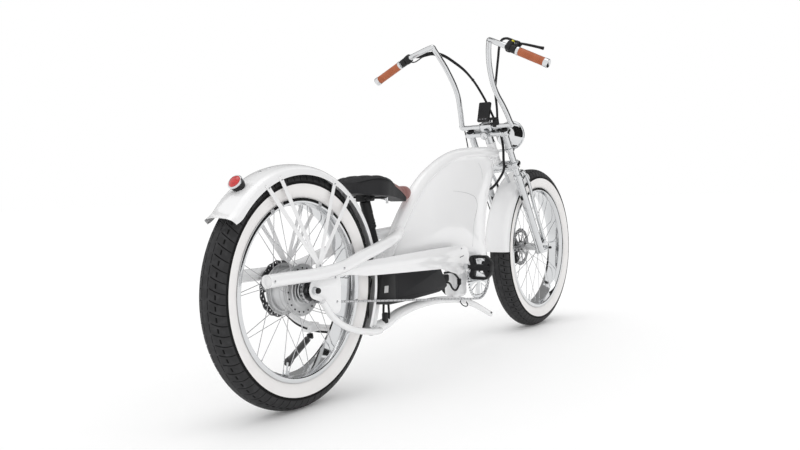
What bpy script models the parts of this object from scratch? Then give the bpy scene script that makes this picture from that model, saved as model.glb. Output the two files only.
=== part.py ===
"""Electric stretch cruiser: a long, low bicycle with a motor in its rear hub.

Metres, +X forward, +Y left, +Z up. The origin is where the rear tyre meets the ground, in the mid-plane.
"""

from math import atan2, cos, hypot, pi, radians, sin

import bmesh
import bpy
from mathutils import Matrix, Vector

# Overall sizes
WHEELBASE = 1.733
TYRE_R = 0.373
RAKE = radians(32.5)
HEAD_TOP = Vector((1.331, 0.0, 0.865))

# Clearances
GAP = 0.0003
RUNNING = 0.0004

# Wheels
WHEEL_STEPS = 30
TYRE_WALL = 0.004
TYRE_WIDEST_R = 0.314
TYRE_HALF_WIDTH = 0.049
TREAD_HALF_FLAT = 0.018
SHOULDER = (0.354, 0.038)
BEAD_R = 0.2725
RIM_EDGE_R = 0.286
RIM_WELL_R = 0.266
RIM_HALF_WIDTH = 0.040
RIM_WALL = 0.003
SPOKES_A_SIDE = 14
SPOKE_R = 0.0016
SPOKE_CROSS = radians(24)
ROTOR_R = 0.090
ROTOR_THICK = 0.002
REAR_ROTOR_Y = 0.060
FRONT_ROTOR_Y = 0.060

# Rear hub and axle
HUB_STEPS = 20
MOTOR_FLANGE_R = 0.078
MOTOR_FLANGES = (-0.035, 0.040)
REAR_AXLE_R = 0.007
REAR_AXLE_HALF = 0.100
DROPOUT_IN = 0.080
DROPOUT_THICK = 0.0037

# Front hub and axle
FRONT_FLANGE_R = 0.030
FRONT_FLANGES = (-0.031, 0.036)
FRONT_AXLE_R = 0.0045
FORK_END_IN = 0.070
FORK_END_THICK = 0.006

# Drive
BB = Vector((1.08, 0.0, 0.300))
CHAIN_PITCH = 0.0127
CHAIN_Y = -0.063
CHAIN_WIDTH = 0.009
RING_TEETH = 44
FREEWHEEL_TEETH = 18
CRANK_LENGTH = 0.170
CRANK_ANGLE = radians(160)
CRANK_Y = 0.101
SPINDLE_R = 0.0085
PEDAL_PIN_R = 0.0045
PEDAL_IN = 0.1135
PEDAL_WIDTH = 0.098
PEDAL_LENGTH = 0.095
PEDAL_THICK = 0.026

# Frame
ARCH_R = 0.025
ARCH_WALL = 0.002
STAY_R = 0.020
CHAINSTAY_R = 0.011
HEAD_TUBE_R = 0.019
HEAD_TUBE_LENGTH = 0.105
STEERER_R = 0.0143
PANEL_HALF = 0.058
PANEL_WALL = 0.0018
PANEL_CENTRE = (0.93, 0.575)
POST_LEAN = radians(20.5)
POST_LOW = Vector((0.475, 0.0, 0.400))
POST_R = 0.0135
SEAT_TUBE_R = 0.0185
SEAT_TUBE_LENGTH = 0.082
BRIDGE_R = 0.013
BATTERY_HALF = 0.045
LEG_FOOT = Vector((0.4156, 0.0, 0.2126))
LEG_TOP = Vector((0.480, 0.0, 0.404))
LEG_R = 0.015

# Fork and steering
STANCHION_R = 0.014
STANCHION_Y = 0.082
SLIDER_R = 0.018
ROD_R = 0.008
ROD_FORWARD = 0.063
TOP_CROWN_S = -0.045
LOW_CROWN_S = 0.120
BAR_R = 0.011
BAR_CLAMP = Vector((1.298, 0.0, 0.930))
GRIP_R = 0.0165
LEVER_OUT = 0.046
LOOM_DOWN_R = 0.0055

DOWN_FORK = Vector((sin(RAKE), 0.0, -cos(RAKE)))
ACROSS_FORK = Vector((cos(RAKE), 0.0, sin(RAKE)))
FORK_TURN = Matrix((ACROSS_FORK, Vector((0, 1, 0)), -DOWN_FORK)).transposed()
REAR_AXLE = Vector((0.0, 0.0, TYRE_R))
FRONT_AXLE = Vector((WHEELBASE, 0.0, TYRE_R))
POST_UP = Vector((-sin(POST_LEAN), 0.0, cos(POST_LEAN)))
RIGHT, LEFT = -1, 1

WHITE = ((0.90, 0.90, 0.90), 0.25, 0.0)
CHROME = ((0.80, 0.80, 0.82), 0.12, 1.0)
ALLOY = ((0.62, 0.63, 0.65), 0.35, 1.0)
BLACK = ((0.03, 0.03, 0.032), 0.45, 0.0)
RUBBER = ((0.05, 0.05, 0.052), 0.80, 0.0)
LEATHER = ((0.42, 0.17, 0.07), 0.60, 0.0)
SEAT_COVER = ((0.42, 0.24, 0.22), 0.65, 0.0)
RED = ((0.70, 0.02, 0.02), 0.20, 0.0)
YELLOW = ((0.85, 0.75, 0.05), 0.40, 0.0)
CLEAR = ((0.90, 0.90, 0.92), 0.05, 0.0)


def clear_scene():
    for obj in list(bpy.data.objects):
        bpy.data.objects.remove(obj)


def new_group(name):
    group = bpy.data.collections.new(name)
    bpy.context.scene.collection.children.link(group)
    return group


def paint(obj, finish):
    """Gives the object a material of its own from a (colour, roughness, metallic) finish."""
    colour, roughness, metallic = finish
    material = bpy.data.materials.new(obj.name)
    material.use_nodes = True
    shader = material.node_tree.nodes["Principled BSDF"]
    shader.inputs["Base Color"].default_value = (*colour, 1.0)
    shader.inputs["Roughness"].default_value = roughness
    shader.inputs["Metallic"].default_value = metallic
    obj.data.materials.clear()
    obj.data.materials.append(material)


def place(name, mesh, matrix=None):
    obj = bpy.data.objects.new(name, mesh)
    if matrix is not None:
        obj.matrix_world = matrix
    PARTS.objects.link(obj)
    return obj


def aside(obj):
    """Moves a cutter or a joined piece out of the parts and hides it from renders."""
    PARTS.objects.unlink(obj)
    SHAPING.objects.link(obj)
    obj.hide_render = True
    obj.display_type = "WIRE"


def combine(obj, others, operation):
    for other in others:
        change = obj.modifiers.new(other.name, "BOOLEAN")
        change.operation = operation
        change.solver = "EXACT"
        change.object = other
        if other.name in PARTS.objects:
            aside(other)
    return obj


def join(obj, *others):
    return combine(obj, others, "UNION")


def cut(obj, *others):
    return combine(obj, others, "DIFFERENCE")


def finished(obj, finish, sharp=35):
    paint(obj, finish)
    obj.data.shade_smooth()
    obj.data.set_sharp_from_angle(angle=radians(sharp))
    return obj


def settled(obj):
    """The object with its modifiers applied, as one plain mesh."""
    graph = bpy.context.evaluated_depsgraph_get()
    mesh = bpy.data.meshes.new_from_object(obj.evaluated_get(graph))
    matrix = obj.matrix_world.copy()
    name = obj.name
    bpy.data.objects.remove(obj)
    shape = bmesh.new()
    shape.from_mesh(mesh)
    bmesh.ops.remove_doubles(shape, verts=shape.verts, dist=1e-6)
    bmesh.ops.recalc_face_normals(shape, faces=shape.faces)
    shape.to_mesh(mesh)
    shape.free()
    return place(name, mesh, matrix)


def from_bmesh(name, shape, matrix=None):
    mesh = bpy.data.meshes.new(name)
    shape.to_mesh(mesh)
    shape.free()
    return place(name, mesh, matrix)


def along(start, end):
    """A matrix that stands local +Z along the line between two points, at its middle."""
    start, end = Vector(start), Vector(end)
    turn = (end - start).to_track_quat("Z", "Y").to_matrix().to_4x4()
    return Matrix.Translation((start + end) / 2) @ turn


def cylinder(name, start, end, radius, top=None, sides=16):
    shape = bmesh.new()
    length = (Vector(end) - Vector(start)).length
    bmesh.ops.create_cone(
        shape, cap_ends=True, segments=sides, radius1=radius, radius2=top or radius, depth=length
    )
    return from_bmesh(name, shape, along(start, end))


def box(name, size, centre, turn=None, rounding=0.0):
    shape = bmesh.new()
    bmesh.ops.create_cube(shape, size=1.0, matrix=Matrix.Diagonal((*size, 1.0)))
    matrix = Matrix.Translation(centre)
    if turn is not None:
        matrix = matrix @ turn.to_4x4()
    obj = from_bmesh(name, shape, matrix)
    if rounding:
        bevel = obj.modifiers.new("rounding", "BEVEL")
        bevel.width = rounding
        bevel.segments = 1
    return obj


def tube(name, points, radius, sides=10, steps=2, sizes=None):
    """A round tube through the points, its caps welded. sizes scales the radius point by point."""
    curve = bpy.data.curves.new(name, "CURVE")
    curve.dimensions = "3D"
    curve.bevel_depth = radius
    curve.bevel_resolution = (sides - 4) // 2
    curve.use_fill_caps = True
    curve.resolution_u = steps
    knots = curve.splines.new("BEZIER").bezier_points
    knots.add(len(points) - 1)
    for index, (knot, point) in enumerate(zip(knots, points)):
        knot.co = point
        knot.handle_left_type = knot.handle_right_type = "AUTO"
        if sizes:
            knot.radius = sizes[index]
    return settled(place(name, curve))


def plate(name, outline, y_low, y_high, holes=()):
    """A flat plate in an X-Z plane, between two Y values. Each hole is an outline too."""
    curve = bpy.data.curves.new(name, "CURVE")
    curve.dimensions = "2D"
    curve.fill_mode = "BOTH"
    curve.extrude = (y_high - y_low) / 2
    for ring in (outline, *holes):
        spline = curve.splines.new("POLY")
        spline.points.add(len(ring) - 1)
        for knot, (x, z) in zip(spline.points, ring):
            knot.co = (x, z, 0.0, 1.0)
        spline.use_cyclic_u = True
    matrix = Matrix.Translation((0.0, (y_low + y_high) / 2, 0.0)) @ Matrix.Rotation(pi / 2, 4, "X")
    return settled(place(name, curve, matrix))


def circle(centre, radius, sides=16, start=0.0):
    turn = 2 * pi / sides
    x, z = centre[0], centre[-1]
    return [(x + radius * cos(start + k * turn), z + radius * sin(start + k * turn)) for k in range(sides)]


def turned(name, profile, centre, direction=(0, 1, 0), steps=32, closed=True):
    """Revolves (radius, height) points about an axis. A profile that isn't closed ends on the axis."""
    area = sum(a[0] * b[1] - b[0] * a[1] for a, b in zip(profile, profile[1:] + profile[:1]))
    if area > 0:
        profile = profile[::-1]
    shape = bmesh.new()
    verts = [shape.verts.new((radius, 0.0, height)) for radius, height in profile]
    pairs = list(zip(verts, verts[1:]))
    if closed:
        pairs.append((verts[-1], verts[0]))
    for pair in pairs:
        shape.edges.new(pair)
    turn = Vector(direction).to_track_quat("Z", "Y").to_matrix().to_4x4()
    obj = from_bmesh(name, shape, Matrix.Translation(centre) @ turn)
    screw = obj.modifiers.new("turn", "SCREW")
    screw.steps = screw.render_steps = steps
    screw.use_merge_vertices = True
    screw.merge_threshold = 0.00001
    return settled(obj)


def arc_shell(name, section, centre, start, end, wall, steps):
    """Sweeps an open (radius, sideways) section about a wheel's axle, from one angle to another."""
    shape = bmesh.new()
    verts = [shape.verts.new((radius, 0.0, -side)) for radius, side in section]
    for pair in zip(verts, verts[1:]):
        shape.edges.new(pair)
    matrix = Matrix.Translation(centre) @ Matrix.Rotation(pi / 2, 4, "X") @ Matrix.Rotation(start, 4, "Z")
    obj = from_bmesh(name, shape, matrix)
    screw = obj.modifiers.new("sweep", "SCREW")
    screw.angle = end - start
    screw.steps = screw.render_steps = steps
    screw.use_merge_vertices = False
    thicken = obj.modifiers.new("wall", "SOLIDIFY")
    thicken.thickness = wall
    thicken.offset = 0.0
    return settled(obj)


def loft(name, rings, cap_start=True, cap_end=True):
    """A skin through closed rings that have the same number of points."""
    shape = bmesh.new()
    rows = [[shape.verts.new(point) for point in ring] for ring in rings]
    count = len(rings[0])
    for low, high in zip(rows, rows[1:]):
        for k in range(count):
            after = (k + 1) % count
            shape.faces.new((low[k], low[after], high[after], high[k]))
    if cap_start:
        shape.faces.new(rows[0])
    if cap_end:
        shape.faces.new(rows[-1])
    bmesh.ops.recalc_face_normals(shape, faces=shape.faces)
    return from_bmesh(name, shape)


def hinge_on(name, point, pieces):
    """Parents the pieces to an empty on their joint's axis, leaving them where they are."""
    empty = bpy.data.objects.new(name, None)
    empty.location = point
    PARTS.objects.link(empty)
    back = Matrix.Translation(point).inverted()
    for piece in pieces:
        piece.parent = empty
        piece.matrix_parent_inverse = back


def mirrored(points):
    return [(x, -y, z) for x, y, z in points]


def both_ways(half):
    """A run over the mid-plane: the points of one side, then the same points mirrored, back to front."""
    return list(half) + mirrored(half)[::-1]


def fork(s, n, y=0.0):
    """A point in the fork's plane: s down the steering axis from the head tube's top, n forward of it."""
    return HEAD_TOP + DOWN_FORK * s + ACROSS_FORK * n + Vector((0.0, y, 0.0))


def pitch_radius(teeth):
    return CHAIN_PITCH / (2 * sin(pi / teeth))


RING_R = pitch_radius(RING_TEETH)
FREEWHEEL_R = pitch_radius(FREEWHEEL_TEETH)


# Wheels


def whole_section(half):
    """The (radius, sideways) points of one side, then the same points mirrored, back to front."""
    return half + [(r, -h) for r, h in half[::-1]]


def tyre(name, centre):
    crown = TYRE_R / cos(pi / WHEEL_STEPS)
    seat = RIM_HALF_WIDTH - RIM_WALL
    outer = [
        (crown, TREAD_HALF_FLAT), SHOULDER, (TYRE_WIDEST_R, TYRE_HALF_WIDTH),
        (RIM_EDGE_R + 0.001, seat - GAP), (BEAD_R, seat - GAP),
    ]
    inner = [
        (BEAD_R, seat - GAP - TYRE_WALL), (RIM_EDGE_R + 0.003, seat - GAP - TYRE_WALL),
        (TYRE_WIDEST_R, TYRE_HALF_WIDTH - 0.005), (SHOULDER[0] - 0.005, SHOULDER[1] - 0.006),
        (TYRE_R - 0.007, TREAD_HALF_FLAT - 0.002),
    ]
    return finished(turned(name, whole_section(outer + inner), centre, steps=WHEEL_STEPS), RUBBER)


def rim(name, centre):
    inner = RIM_HALF_WIDTH - RIM_WALL
    half = [
        (RIM_WELL_R, 0.022), (BEAD_R - GAP, inner), (RIM_EDGE_R, inner), (RIM_EDGE_R, RIM_HALF_WIDTH),
        (0.270, RIM_HALF_WIDTH), (RIM_WELL_R - RIM_WALL, 0.024),
    ]
    return finished(turned(name, whole_section(half), centre, steps=WHEEL_STEPS), CHROME)


def spoke_set(name, centre, flange_r, flange_y, lean, offset):
    """The spokes of one side that lean the same way, as one mesh of separate rods."""
    shape = bmesh.new()
    hub_end = flange_r
    rim_end = RIM_WELL_R - RIM_WALL + 0.002
    rim_y = 0.010 if flange_y > 0 else -0.010
    for k in range(SPOKES_A_SIDE // 2):
        angle = 4 * pi * k / SPOKES_A_SIDE + offset
        start = centre + Vector((hub_end * cos(angle), flange_y, hub_end * sin(angle)))
        far = angle + lean
        end = centre + Vector((rim_end * cos(far), rim_y, rim_end * sin(far)))
        bmesh.ops.create_cone(
            shape, cap_ends=True, segments=3, radius1=SPOKE_R, radius2=SPOKE_R,
            depth=(end - start).length, matrix=along(start, end),
        )
    return from_bmesh(name, shape)


def spokes(name, centre, flange_r, flange_y, steps):
    """One side of a wheel's lacing, held by the ring of its hub flange."""
    low, high = flange_r - 0.0024, flange_r + 0.0024
    ring = [(low, -0.0030), (high, -0.0030), (high, 0.0030), (low, 0.0030)]
    place_y = centre + Vector((0.0, flange_y, 0.0))
    holder = turned(name, ring, place_y, steps=steps)
    step = 2 * pi / SPOKES_A_SIDE
    side = 0.0011 if flange_y > 0 else -0.0011
    ahead = spoke_set(name + "_ahead", centre, flange_r, flange_y + side, SPOKE_CROSS, 0.0)
    behind = spoke_set(name + "_behind", centre, flange_r, flange_y - side, -SPOKE_CROSS, step)
    inner = RIM_WELL_R - RIM_WALL - GAP
    band = [(inner, -0.024), (inner, 0.024), (inner + 0.02, 0.024), (inner + 0.02, -0.024)]
    rim_space = turned("rim_space", band, centre, steps=WHEEL_STEPS)
    return finished(cut(join(holder, ahead, behind), rim_space), CHROME)


def rotor(name, centre, y):
    windows = []
    for k in range(5):
        middle = 2 * k * pi / 5
        spread = radians(24)
        inner, outer = 0.036, 0.070
        corners = [(inner, -spread), (outer, -spread), (outer, spread), (inner, spread)]
        windows.append(
            [(centre.x + r * cos(middle + a), centre.z + r * sin(middle + a)) for r, a in corners]
        )
    bore = circle(centre, 0.0215, 16)
    edge = circle(centre, ROTOR_R, 32)
    disc = plate(name, edge, y - ROTOR_THICK / 2, y + ROTOR_THICK / 2, [bore, *windows])
    return finished(disc, ALLOY)


def rear_wheel():
    pieces = [tyre("rear_tyre", REAR_AXLE), rim("rear_rim", REAR_AXLE)]
    for side, y in zip(("right", "left"), MOTOR_FLANGES):
        pieces.append(spokes("rear_spokes_" + side, REAR_AXLE, MOTOR_FLANGE_R, y, HUB_STEPS))
    bore = REAR_AXLE_R + RUNNING
    lip = MOTOR_FLANGE_R - 0.0024 - GAP
    right, left = MOTOR_FLANGES
    end = REAR_ROTOR_Y - ROTOR_THICK / 2 - GAP
    profile = [
        (bore, -0.046), (0.030, -0.046), (0.032, right - 0.006), (0.060, right - 0.003),
        (lip, right - 0.003), (lip, right + 0.003), (0.067, right + 0.005), (0.067, left - 0.005),
        (lip, left - 0.003), (lip, left + 0.003), (0.052, 0.049), (0.034, 0.053), (0.030, end), (bore, end),
    ]
    pieces.append(finished(turned("motor_hub", profile, REAR_AXLE, steps=HUB_STEPS), ALLOY))
    pieces.append(rotor("rear_rotor", REAR_AXLE, REAR_ROTOR_Y))
    hinge_on("rear_wheel_axis", REAR_AXLE, pieces)


def front_wheel():
    pieces = [tyre("front_tyre", FRONT_AXLE), rim("front_rim", FRONT_AXLE)]
    for side, y in zip(("right", "left"), FRONT_FLANGES):
        pieces.append(spokes("front_spokes_" + side, FRONT_AXLE, FRONT_FLANGE_R, y, HUB_STEPS // 2 + 4))
    bore = FRONT_AXLE_R + RUNNING
    lip = FRONT_FLANGE_R - 0.0024 - GAP
    right, left = FRONT_FLANGES
    half = FORK_END_IN - 0.001
    seat = FRONT_ROTOR_Y - ROTOR_THICK / 2 - GAP
    profile = [
        (bore, -half), (0.011, -half), (0.014, right - 0.008), (lip, right - 0.003), (lip, right + 0.003),
        (0.016, right + 0.008), (0.016, left - 0.008), (lip, left - 0.003), (lip, seat), (0.0205, seat),
        (0.0205, FRONT_ROTOR_Y + 0.002), (0.011, half), (bore, half),
    ]
    pieces.append(finished(turned("front_hub", profile, FRONT_AXLE, steps=HUB_STEPS // 2 + 4), CHROME))
    pieces.append(rotor("front_rotor", FRONT_AXLE, FRONT_ROTOR_Y))
    hinge_on("front_wheel_axis", FRONT_AXLE, pieces)


def nutted_axle(name, centre, radius, half, face):
    """An axle with a washer and a nut outside each dropout's outer face."""
    axle = cylinder(name, centre - Vector((0, half, 0)), centre + Vector((0, half, 0)), radius, sides=12)
    for side in (RIGHT, LEFT):
        out = Vector((0, side, 0))
        inner = centre + out * (face + GAP)
        join(axle, cylinder(name + "_washer", inner, inner + out * 0.003, radius * 1.9, sides=14))
        join(axle, cylinder(name + "_nut", inner + out * 0.002, inner + out * 0.012, radius * 1.55, sides=6))
    return finished(axle, CHROME)


# Frame


ARCH = [
    (0.478, 0.0, 0.398), (0.523, 0.0, 0.457), (0.583, 0.0, 0.528), (0.660, 0.0, 0.612), (0.749, 0.0, 0.690),
    (0.830, 0.0, 0.736), (0.920, 0.0, 0.774), (1.020, 0.0, 0.800), (1.180, 0.0, 0.814), (1.362, 0.0, 0.818),
]
ARCH_FOOT = (0.454, 0.0, 0.366)
STAY = [
    (-0.218, 0.090, 0.424), (0.122, 0.090, 0.431), (0.257, 0.088, 0.461), (0.380, 0.082, 0.486),
    (0.467, 0.066, 0.503), (0.575, 0.014, 0.518),
]
CHAINSTAY = [
    (0.030, 0.0895, 0.336), (0.080, 0.0895, 0.280), (0.151, 0.088, 0.237), (0.287, 0.083, 0.200),
    (0.362, 0.068, 0.191), (0.414, 0.016, 0.185),
]
LOWER = [
    (0.398, 0.0, 0.183), (0.477, 0.0, 0.190), (0.588, 0.0, 0.218), (0.762, 0.0, 0.231), (0.930, 0.0, 0.222),
    (1.080, 0.0, 0.196), (1.300, 0.0, 0.111),
]
LOWER_SIZES = (1.0, 0.95, 0.85, 0.66, 0.62, 0.60, 0.50)
LOWER_R = 0.022
COLUMN = ((0.955, 0.225), (1.045, 0.405))
COLUMN_HALF = 0.034
BB_SHELL_R = 0.024
BB_SHELL_HALF = 0.036


def arch_tube(name, extra=0.0):
    return tube(name, ARCH, ARCH_R + extra, sides=12)


def bridge_tube(name, extra=0.0):
    low = POST_LOW + POST_UP * (SEAT_TUBE_LENGTH - 0.022)
    return cylinder(name, low, (0.556, 0.0, 0.508), BRIDGE_R + extra, sides=12)


def head_tube_space(extra=0.0):
    low = fork(HEAD_TUBE_LENGTH + 0.02, 0)
    return cylinder("head_space", fork(-0.02, 0), low, HEAD_TUBE_R + extra, sides=20)


def main_frame():
    """The arched top tube with its seat tube, cross tube, leg and head tube, welded into one."""
    seat_top = POST_LOW + POST_UP * SEAT_TUBE_LENGTH
    arch = arch_tube("main_frame")
    head = cylinder("head_tube", fork(0, 0), fork(HEAD_TUBE_LENGTH, 0), HEAD_TUBE_R, sides=20)
    seat = cylinder("seat_tube", POST_LOW, seat_top, SEAT_TUBE_R)
    join(arch, head, seat, bridge_tube("bridge"))
    cut(arch, tube("arch_bore", [ARCH_FOOT, *ARCH[1:-1]], ARCH_R - ARCH_WALL))
    end = Vector(ARCH[0])
    rise = (Vector(ARCH[1]) - end).normalized()
    run = (LEG_TOP - LEG_FOOT).normalized()
    join(arch, cylinder("arch_end", end + rise * 0.0006, end + rise * 0.007, ARCH_R - ARCH_WALL * 0.6))
    join(arch, cylinder("leg", LEG_FOOT, LEG_TOP - run * 0.004, LEG_R))
    post = cylinder("post_bore", POST_LOW + POST_UP * 0.004, seat_top + POST_UP * 0.01, POST_R + GAP)
    head_low = fork(HEAD_TUBE_LENGTH + 0.01, 0)
    steerer = cylinder("steerer_bore", fork(-0.01, 0), head_low, STEERER_R + RUNNING)
    leg_bore = cylinder("leg_bore", LEG_FOOT - run * 0.01, LEG_FOOT + run * 0.160, LEG_R - 0.002)
    return finished(cut(arch, post, steerer, leg_bore), WHITE)


def column(name, extra=0.0, rounding=0.0):
    (x_low, z_low), (x_high, z_high) = COLUMN
    size = (x_high - x_low + 2 * extra, 2 * (COLUMN_HALF + extra), z_high - z_low + 2 * extra)
    return box(name, size, ((x_low + x_high) / 2, 0.0, (z_low + z_high) / 2), rounding=rounding)


def lower_frame():
    """The hollow lower tube with the bottom bracket and the hollow column that stands on it."""
    low = tube("lower_frame", LOWER, LOWER_R, sizes=LOWER_SIZES)
    half = Vector((0, BB_SHELL_HALF, 0))
    shell = cylinder("bracket_shell", BB - half, BB + half, BB_SHELL_R)
    web = box("bracket_web", (0.060, 0.040, 0.030), (BB.x - 0.030, 0.0, BB.z))
    join(low, column("column", rounding=0.016), shell, web)
    spindle = cylinder("bracket_bore", BB - half * 2, BB + half * 2, SPINDLE_R + RUNNING)
    (x_low, z_low), (x_high, z_high) = COLUMN
    size = (x_high - x_low - 0.006, 2 * COLUMN_HALF - 0.006, z_high - z_low + 0.040)
    middle = ((x_low + x_high) / 2, 0.0, (z_low + z_high) / 2 + 0.034)
    inside = box("column_bore", size, middle, rounding=0.014)
    bore = tube("lower_bore", [(0.380, 0.0, 0.182), *LOWER[1:-1]], LOWER_R - 0.004, sizes=LOWER_SIZES[:-1])
    return finished(cut(low, spindle, inside, bore), WHITE)


def upper_stay(name, side, extra=0.0):
    points = [(x, side * y, z) for x, y, z in STAY]
    return tube(name, points, STAY_R + extra, sides=12)


def upper_stays():
    """The two hollow stays, each closed at its rear end."""
    for side, word in ((RIGHT, "right"), (LEFT, "left")):
        stay = upper_stay("upper_stay_" + word, side)
        inside = [(-0.200, 0.090, 0.4243), *STAY[1:-1], (0.590, 0.007, 0.520)]
        bore = tube("stay_bore", [(x, side * y, z) for x, y, z in inside], STAY_R - 0.003)
        finished(cut(stay, bore, arch_tube("arch_space", GAP), bridge_tube("bridge_space", GAP)), WHITE)


DROPOUT_OUTLINE = [
    (0.020, 0.425), (0.126, 0.425), (0.133, 0.381), (0.129, 0.300), (0.118, 0.288), (0.083, 0.290),
    (0.030, 0.335), (-0.012, 0.350), (-0.024, 0.373), (-0.014, 0.400),
]


def chainstays():
    for side, word in ((RIGHT, "right"), (LEFT, "left")):
        points = [(x, side * y, z) for x, y, z in CHAINSTAY]
        stay = tube("chainstay_" + word, points, CHAINSTAY_R)
        edges = sorted((side * DROPOUT_IN, side * (DROPOUT_IN + DROPOUT_THICK)))
        join(stay, plate("dropout_" + word, DROPOUT_OUTLINE, *edges))
        if side == LEFT:
            join(stay, box("kickstand_block", (0.050, 0.042, 0.030), (0.188, 0.095, 0.219), rounding=0.005))
            low, high = KICK_PIVOT - KICK_AXIS * 0.0105, KICK_PIVOT + KICK_AXIS * 0.026
            join(stay, cylinder("kickstand_pin", low, high, 0.004, sides=12))
        lower = tube("lower_space", LOWER, LOWER_R + GAP, sizes=LOWER_SIZES)
        axle = cylinder("axle_space", REAR_AXLE - Vector((0, 0.12, 0)), REAR_AXLE + Vector((0, 0.12, 0)),
                        REAR_AXLE_R + GAP, sides=12)
        finished(cut(stay, upper_stay("stay_space", side, GAP), lower, axle), WHITE)


PANEL_OUTLINE = [
    (0.583, 0.528), (0.660, 0.612), (0.749, 0.690), (0.830, 0.736), (0.920, 0.774), (1.020, 0.800),
    (1.120, 0.811), (1.210, 0.814), (1.290, 0.806), (1.330, 0.776), (1.318, 0.720), (1.280, 0.655),
    (1.250, 0.560), (1.234, 0.470), (1.236, 0.410), (1.248, 0.365), (1.238, 0.330), (1.205, 0.318),
    (1.130, 0.337), (1.000, 0.362), (0.850, 0.378), (0.700, 0.390), (0.620, 0.398), (0.566, 0.415),
    (0.548, 0.450), (0.556, 0.492),
]
PANEL_RINGS = (1.0, 0.97, 0.86, 0.60)
NOSE_HOLE = Vector((1.29, -0.012, 0.660))
GUARD_BOSS = Vector((0.90, 0.0, 0.432))
GUARD_BOSS_R = 0.006


def panel_depth(share, x):
    """How far a body panel stands out of the mid-plane at a share of the way to its edge."""
    width = PANEL_HALF * min(1.0, 0.50 + (x - 0.56) / 0.40)
    return GAP + (width - GAP) * max(0.0, 1 - share ** 2.6) ** (1 / 2.3)


def body_panels():
    """The two halves of the body's skin, parted at the mid-plane and let in round the tubes."""
    cx, cz = PANEL_CENTRE
    for side, word in ((RIGHT, "right"), (LEFT, "left")):
        rings = []
        for share in PANEL_RINGS:
            ring = []
            for x, z in PANEL_OUTLINE:
                px, pz = cx + (x - cx) * share, cz + (z - cz) * share
                ring.append((px, side * panel_depth(share, px), pz))
            rings.append(ring)
        panel = loft("body_panel_" + word, rings, cap_start=False)
        wall = panel.modifiers.new("wall", "SOLIDIFY")
        wall.thickness = PANEL_WALL
        wall.offset = -1.0
        panel = settled(panel)
        cut(panel, arch_tube("arch_space", GAP), column("column_space", GAP), head_tube_space(GAP))
        cut(panel, upper_stay("stay_space", side, GAP))
        edge = box("mid_plane_space", (1.0, 0.1, 0.7), (0.95, -side * (0.05 - GAP / 2), 0.56))
        cut(panel, edge)
        if side == RIGHT:
            out = Vector((0, -1, 0))
            boss = cylinder("boss_space", GUARD_BOSS + out * 0.004, GUARD_BOSS + out * 0.12,
                            GUARD_BOSS_R + GAP, sides=12)
            along_nose = Vector((0.04, 0.0, 0.0))
            loom = cylinder("loom_space", NOSE_HOLE - along_nose, NOSE_HOLE + along_nose,
                            LOOM_DOWN_R + 0.0008)
            cut(panel, boss, loom)
        finished(panel, WHITE)


GUARD_OUT = 0.087
GUARD_OUTLINE = [
    (0.104, 0.424), (0.112, 0.408), (0.145, 0.404), (0.187, 0.402), (0.268, 0.390), (0.500, 0.378),
    (0.752, 0.366), (0.828, 0.345), (0.880, 0.331), (0.915, 0.334), (0.948, 0.356), (0.962, 0.390),
    (0.958, 0.425), (0.930, 0.446), (0.700, 0.446), (0.460, 0.443), (0.285, 0.441), (0.200, 0.441),
    (0.130, 0.441),
]


def chain_guard():
    """The long plate over the chain's upper run, with the boss that holds its front end."""
    guard = plate("chain_guard", GUARD_OUTLINE, -GUARD_OUT, -GUARD_OUT + 0.003)
    out = Vector((0, -1, 0))
    boss = cylinder("guard_boss", GUARD_BOSS + out * (GUARD_OUT - 0.001), GUARD_BOSS + out * 0.030,
                    GUARD_BOSS_R, sides=12)
    return finished(cut(join(guard, boss), upper_stay("stay_space", RIGHT, GAP)), WHITE)


def battery():
    """The battery case, hung close under the body, with its slanted ends and a slot for the frame's leg."""
    outline = [
        (0.385, 0.281), (0.412, 0.3765), (0.430, 0.3785), (0.620, 0.3785), (0.812, 0.3665), (0.862, 0.290),
        (0.850, 0.281), (0.800, 0.270), (0.560, 0.264), (0.400, 0.274),
    ]
    case = plate("battery_case", outline, -BATTERY_HALF, BATTERY_HALF)
    bevel = case.modifiers.new("rounding", "BEVEL")
    bevel.width = 0.006
    bevel.segments = 1
    bevel.limit_method = "ANGLE"
    bevel.angle_limit = radians(50)
    plug = box("battery_plug", (0.130, 0.040, 0.040), (0.890, 0.0, 0.312), rounding=0.006)
    join(case, plug)
    run = LEG_TOP - LEG_FOOT
    back = Vector((0, 1, 0)).cross(run).normalized()
    turn = Matrix((back, (0, 1, 0), run.normalized())).transposed()
    round_leg = cylinder("leg_space", LEG_FOOT, LEG_TOP, LEG_R + GAP)
    middle = (LEG_FOOT + LEG_TOP) / 2 - back * 0.04
    behind_leg = box("leg_slot", (0.08, 2 * (LEG_R + GAP), 0.3), middle, turn)
    return finished(cut(case, round_leg, behind_leg, column("column_space", GAP)), BLACK)


# Fenders, stays and tail light


FENDER_SECTION = [(0.357, 0.057), (0.374, 0.0535), (0.386, 0.028), (0.389, 0.0)]
FENDER_WALL = 0.0014
REAR_FENDER = (REAR_AXLE, (radians(-27), radians(140)), 20)
FRONT_FENDER = (FRONT_AXLE, (radians(112), radians(179)), 8)


def fender(name, centre, span, steps):
    section = FENDER_SECTION + [(r, -y) for r, y in FENDER_SECTION[-2::-1]]
    return arc_shell(name, section, centre, *span, FENDER_WALL, steps)


def fender_space(name, centre, span, steps, depth=0.040):
    """What a piece that stands on a fender's crown is cut by: the fender and the space under it."""
    inset = depth / 2 - FENDER_WALL / 2 - GAP
    half = [(r - inset, y) for r, y in FENDER_SECTION]
    section = half + [(r, -y) for r, y in half[-2::-1]]
    return arc_shell(name, section, centre, *span, depth, steps)


STRUT_FOOT = (0.047, 0.444)
STRUT_ANGLES = (52, 66, 107.5, 117.5)
STRUT_WIDTH = 0.015


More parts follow.
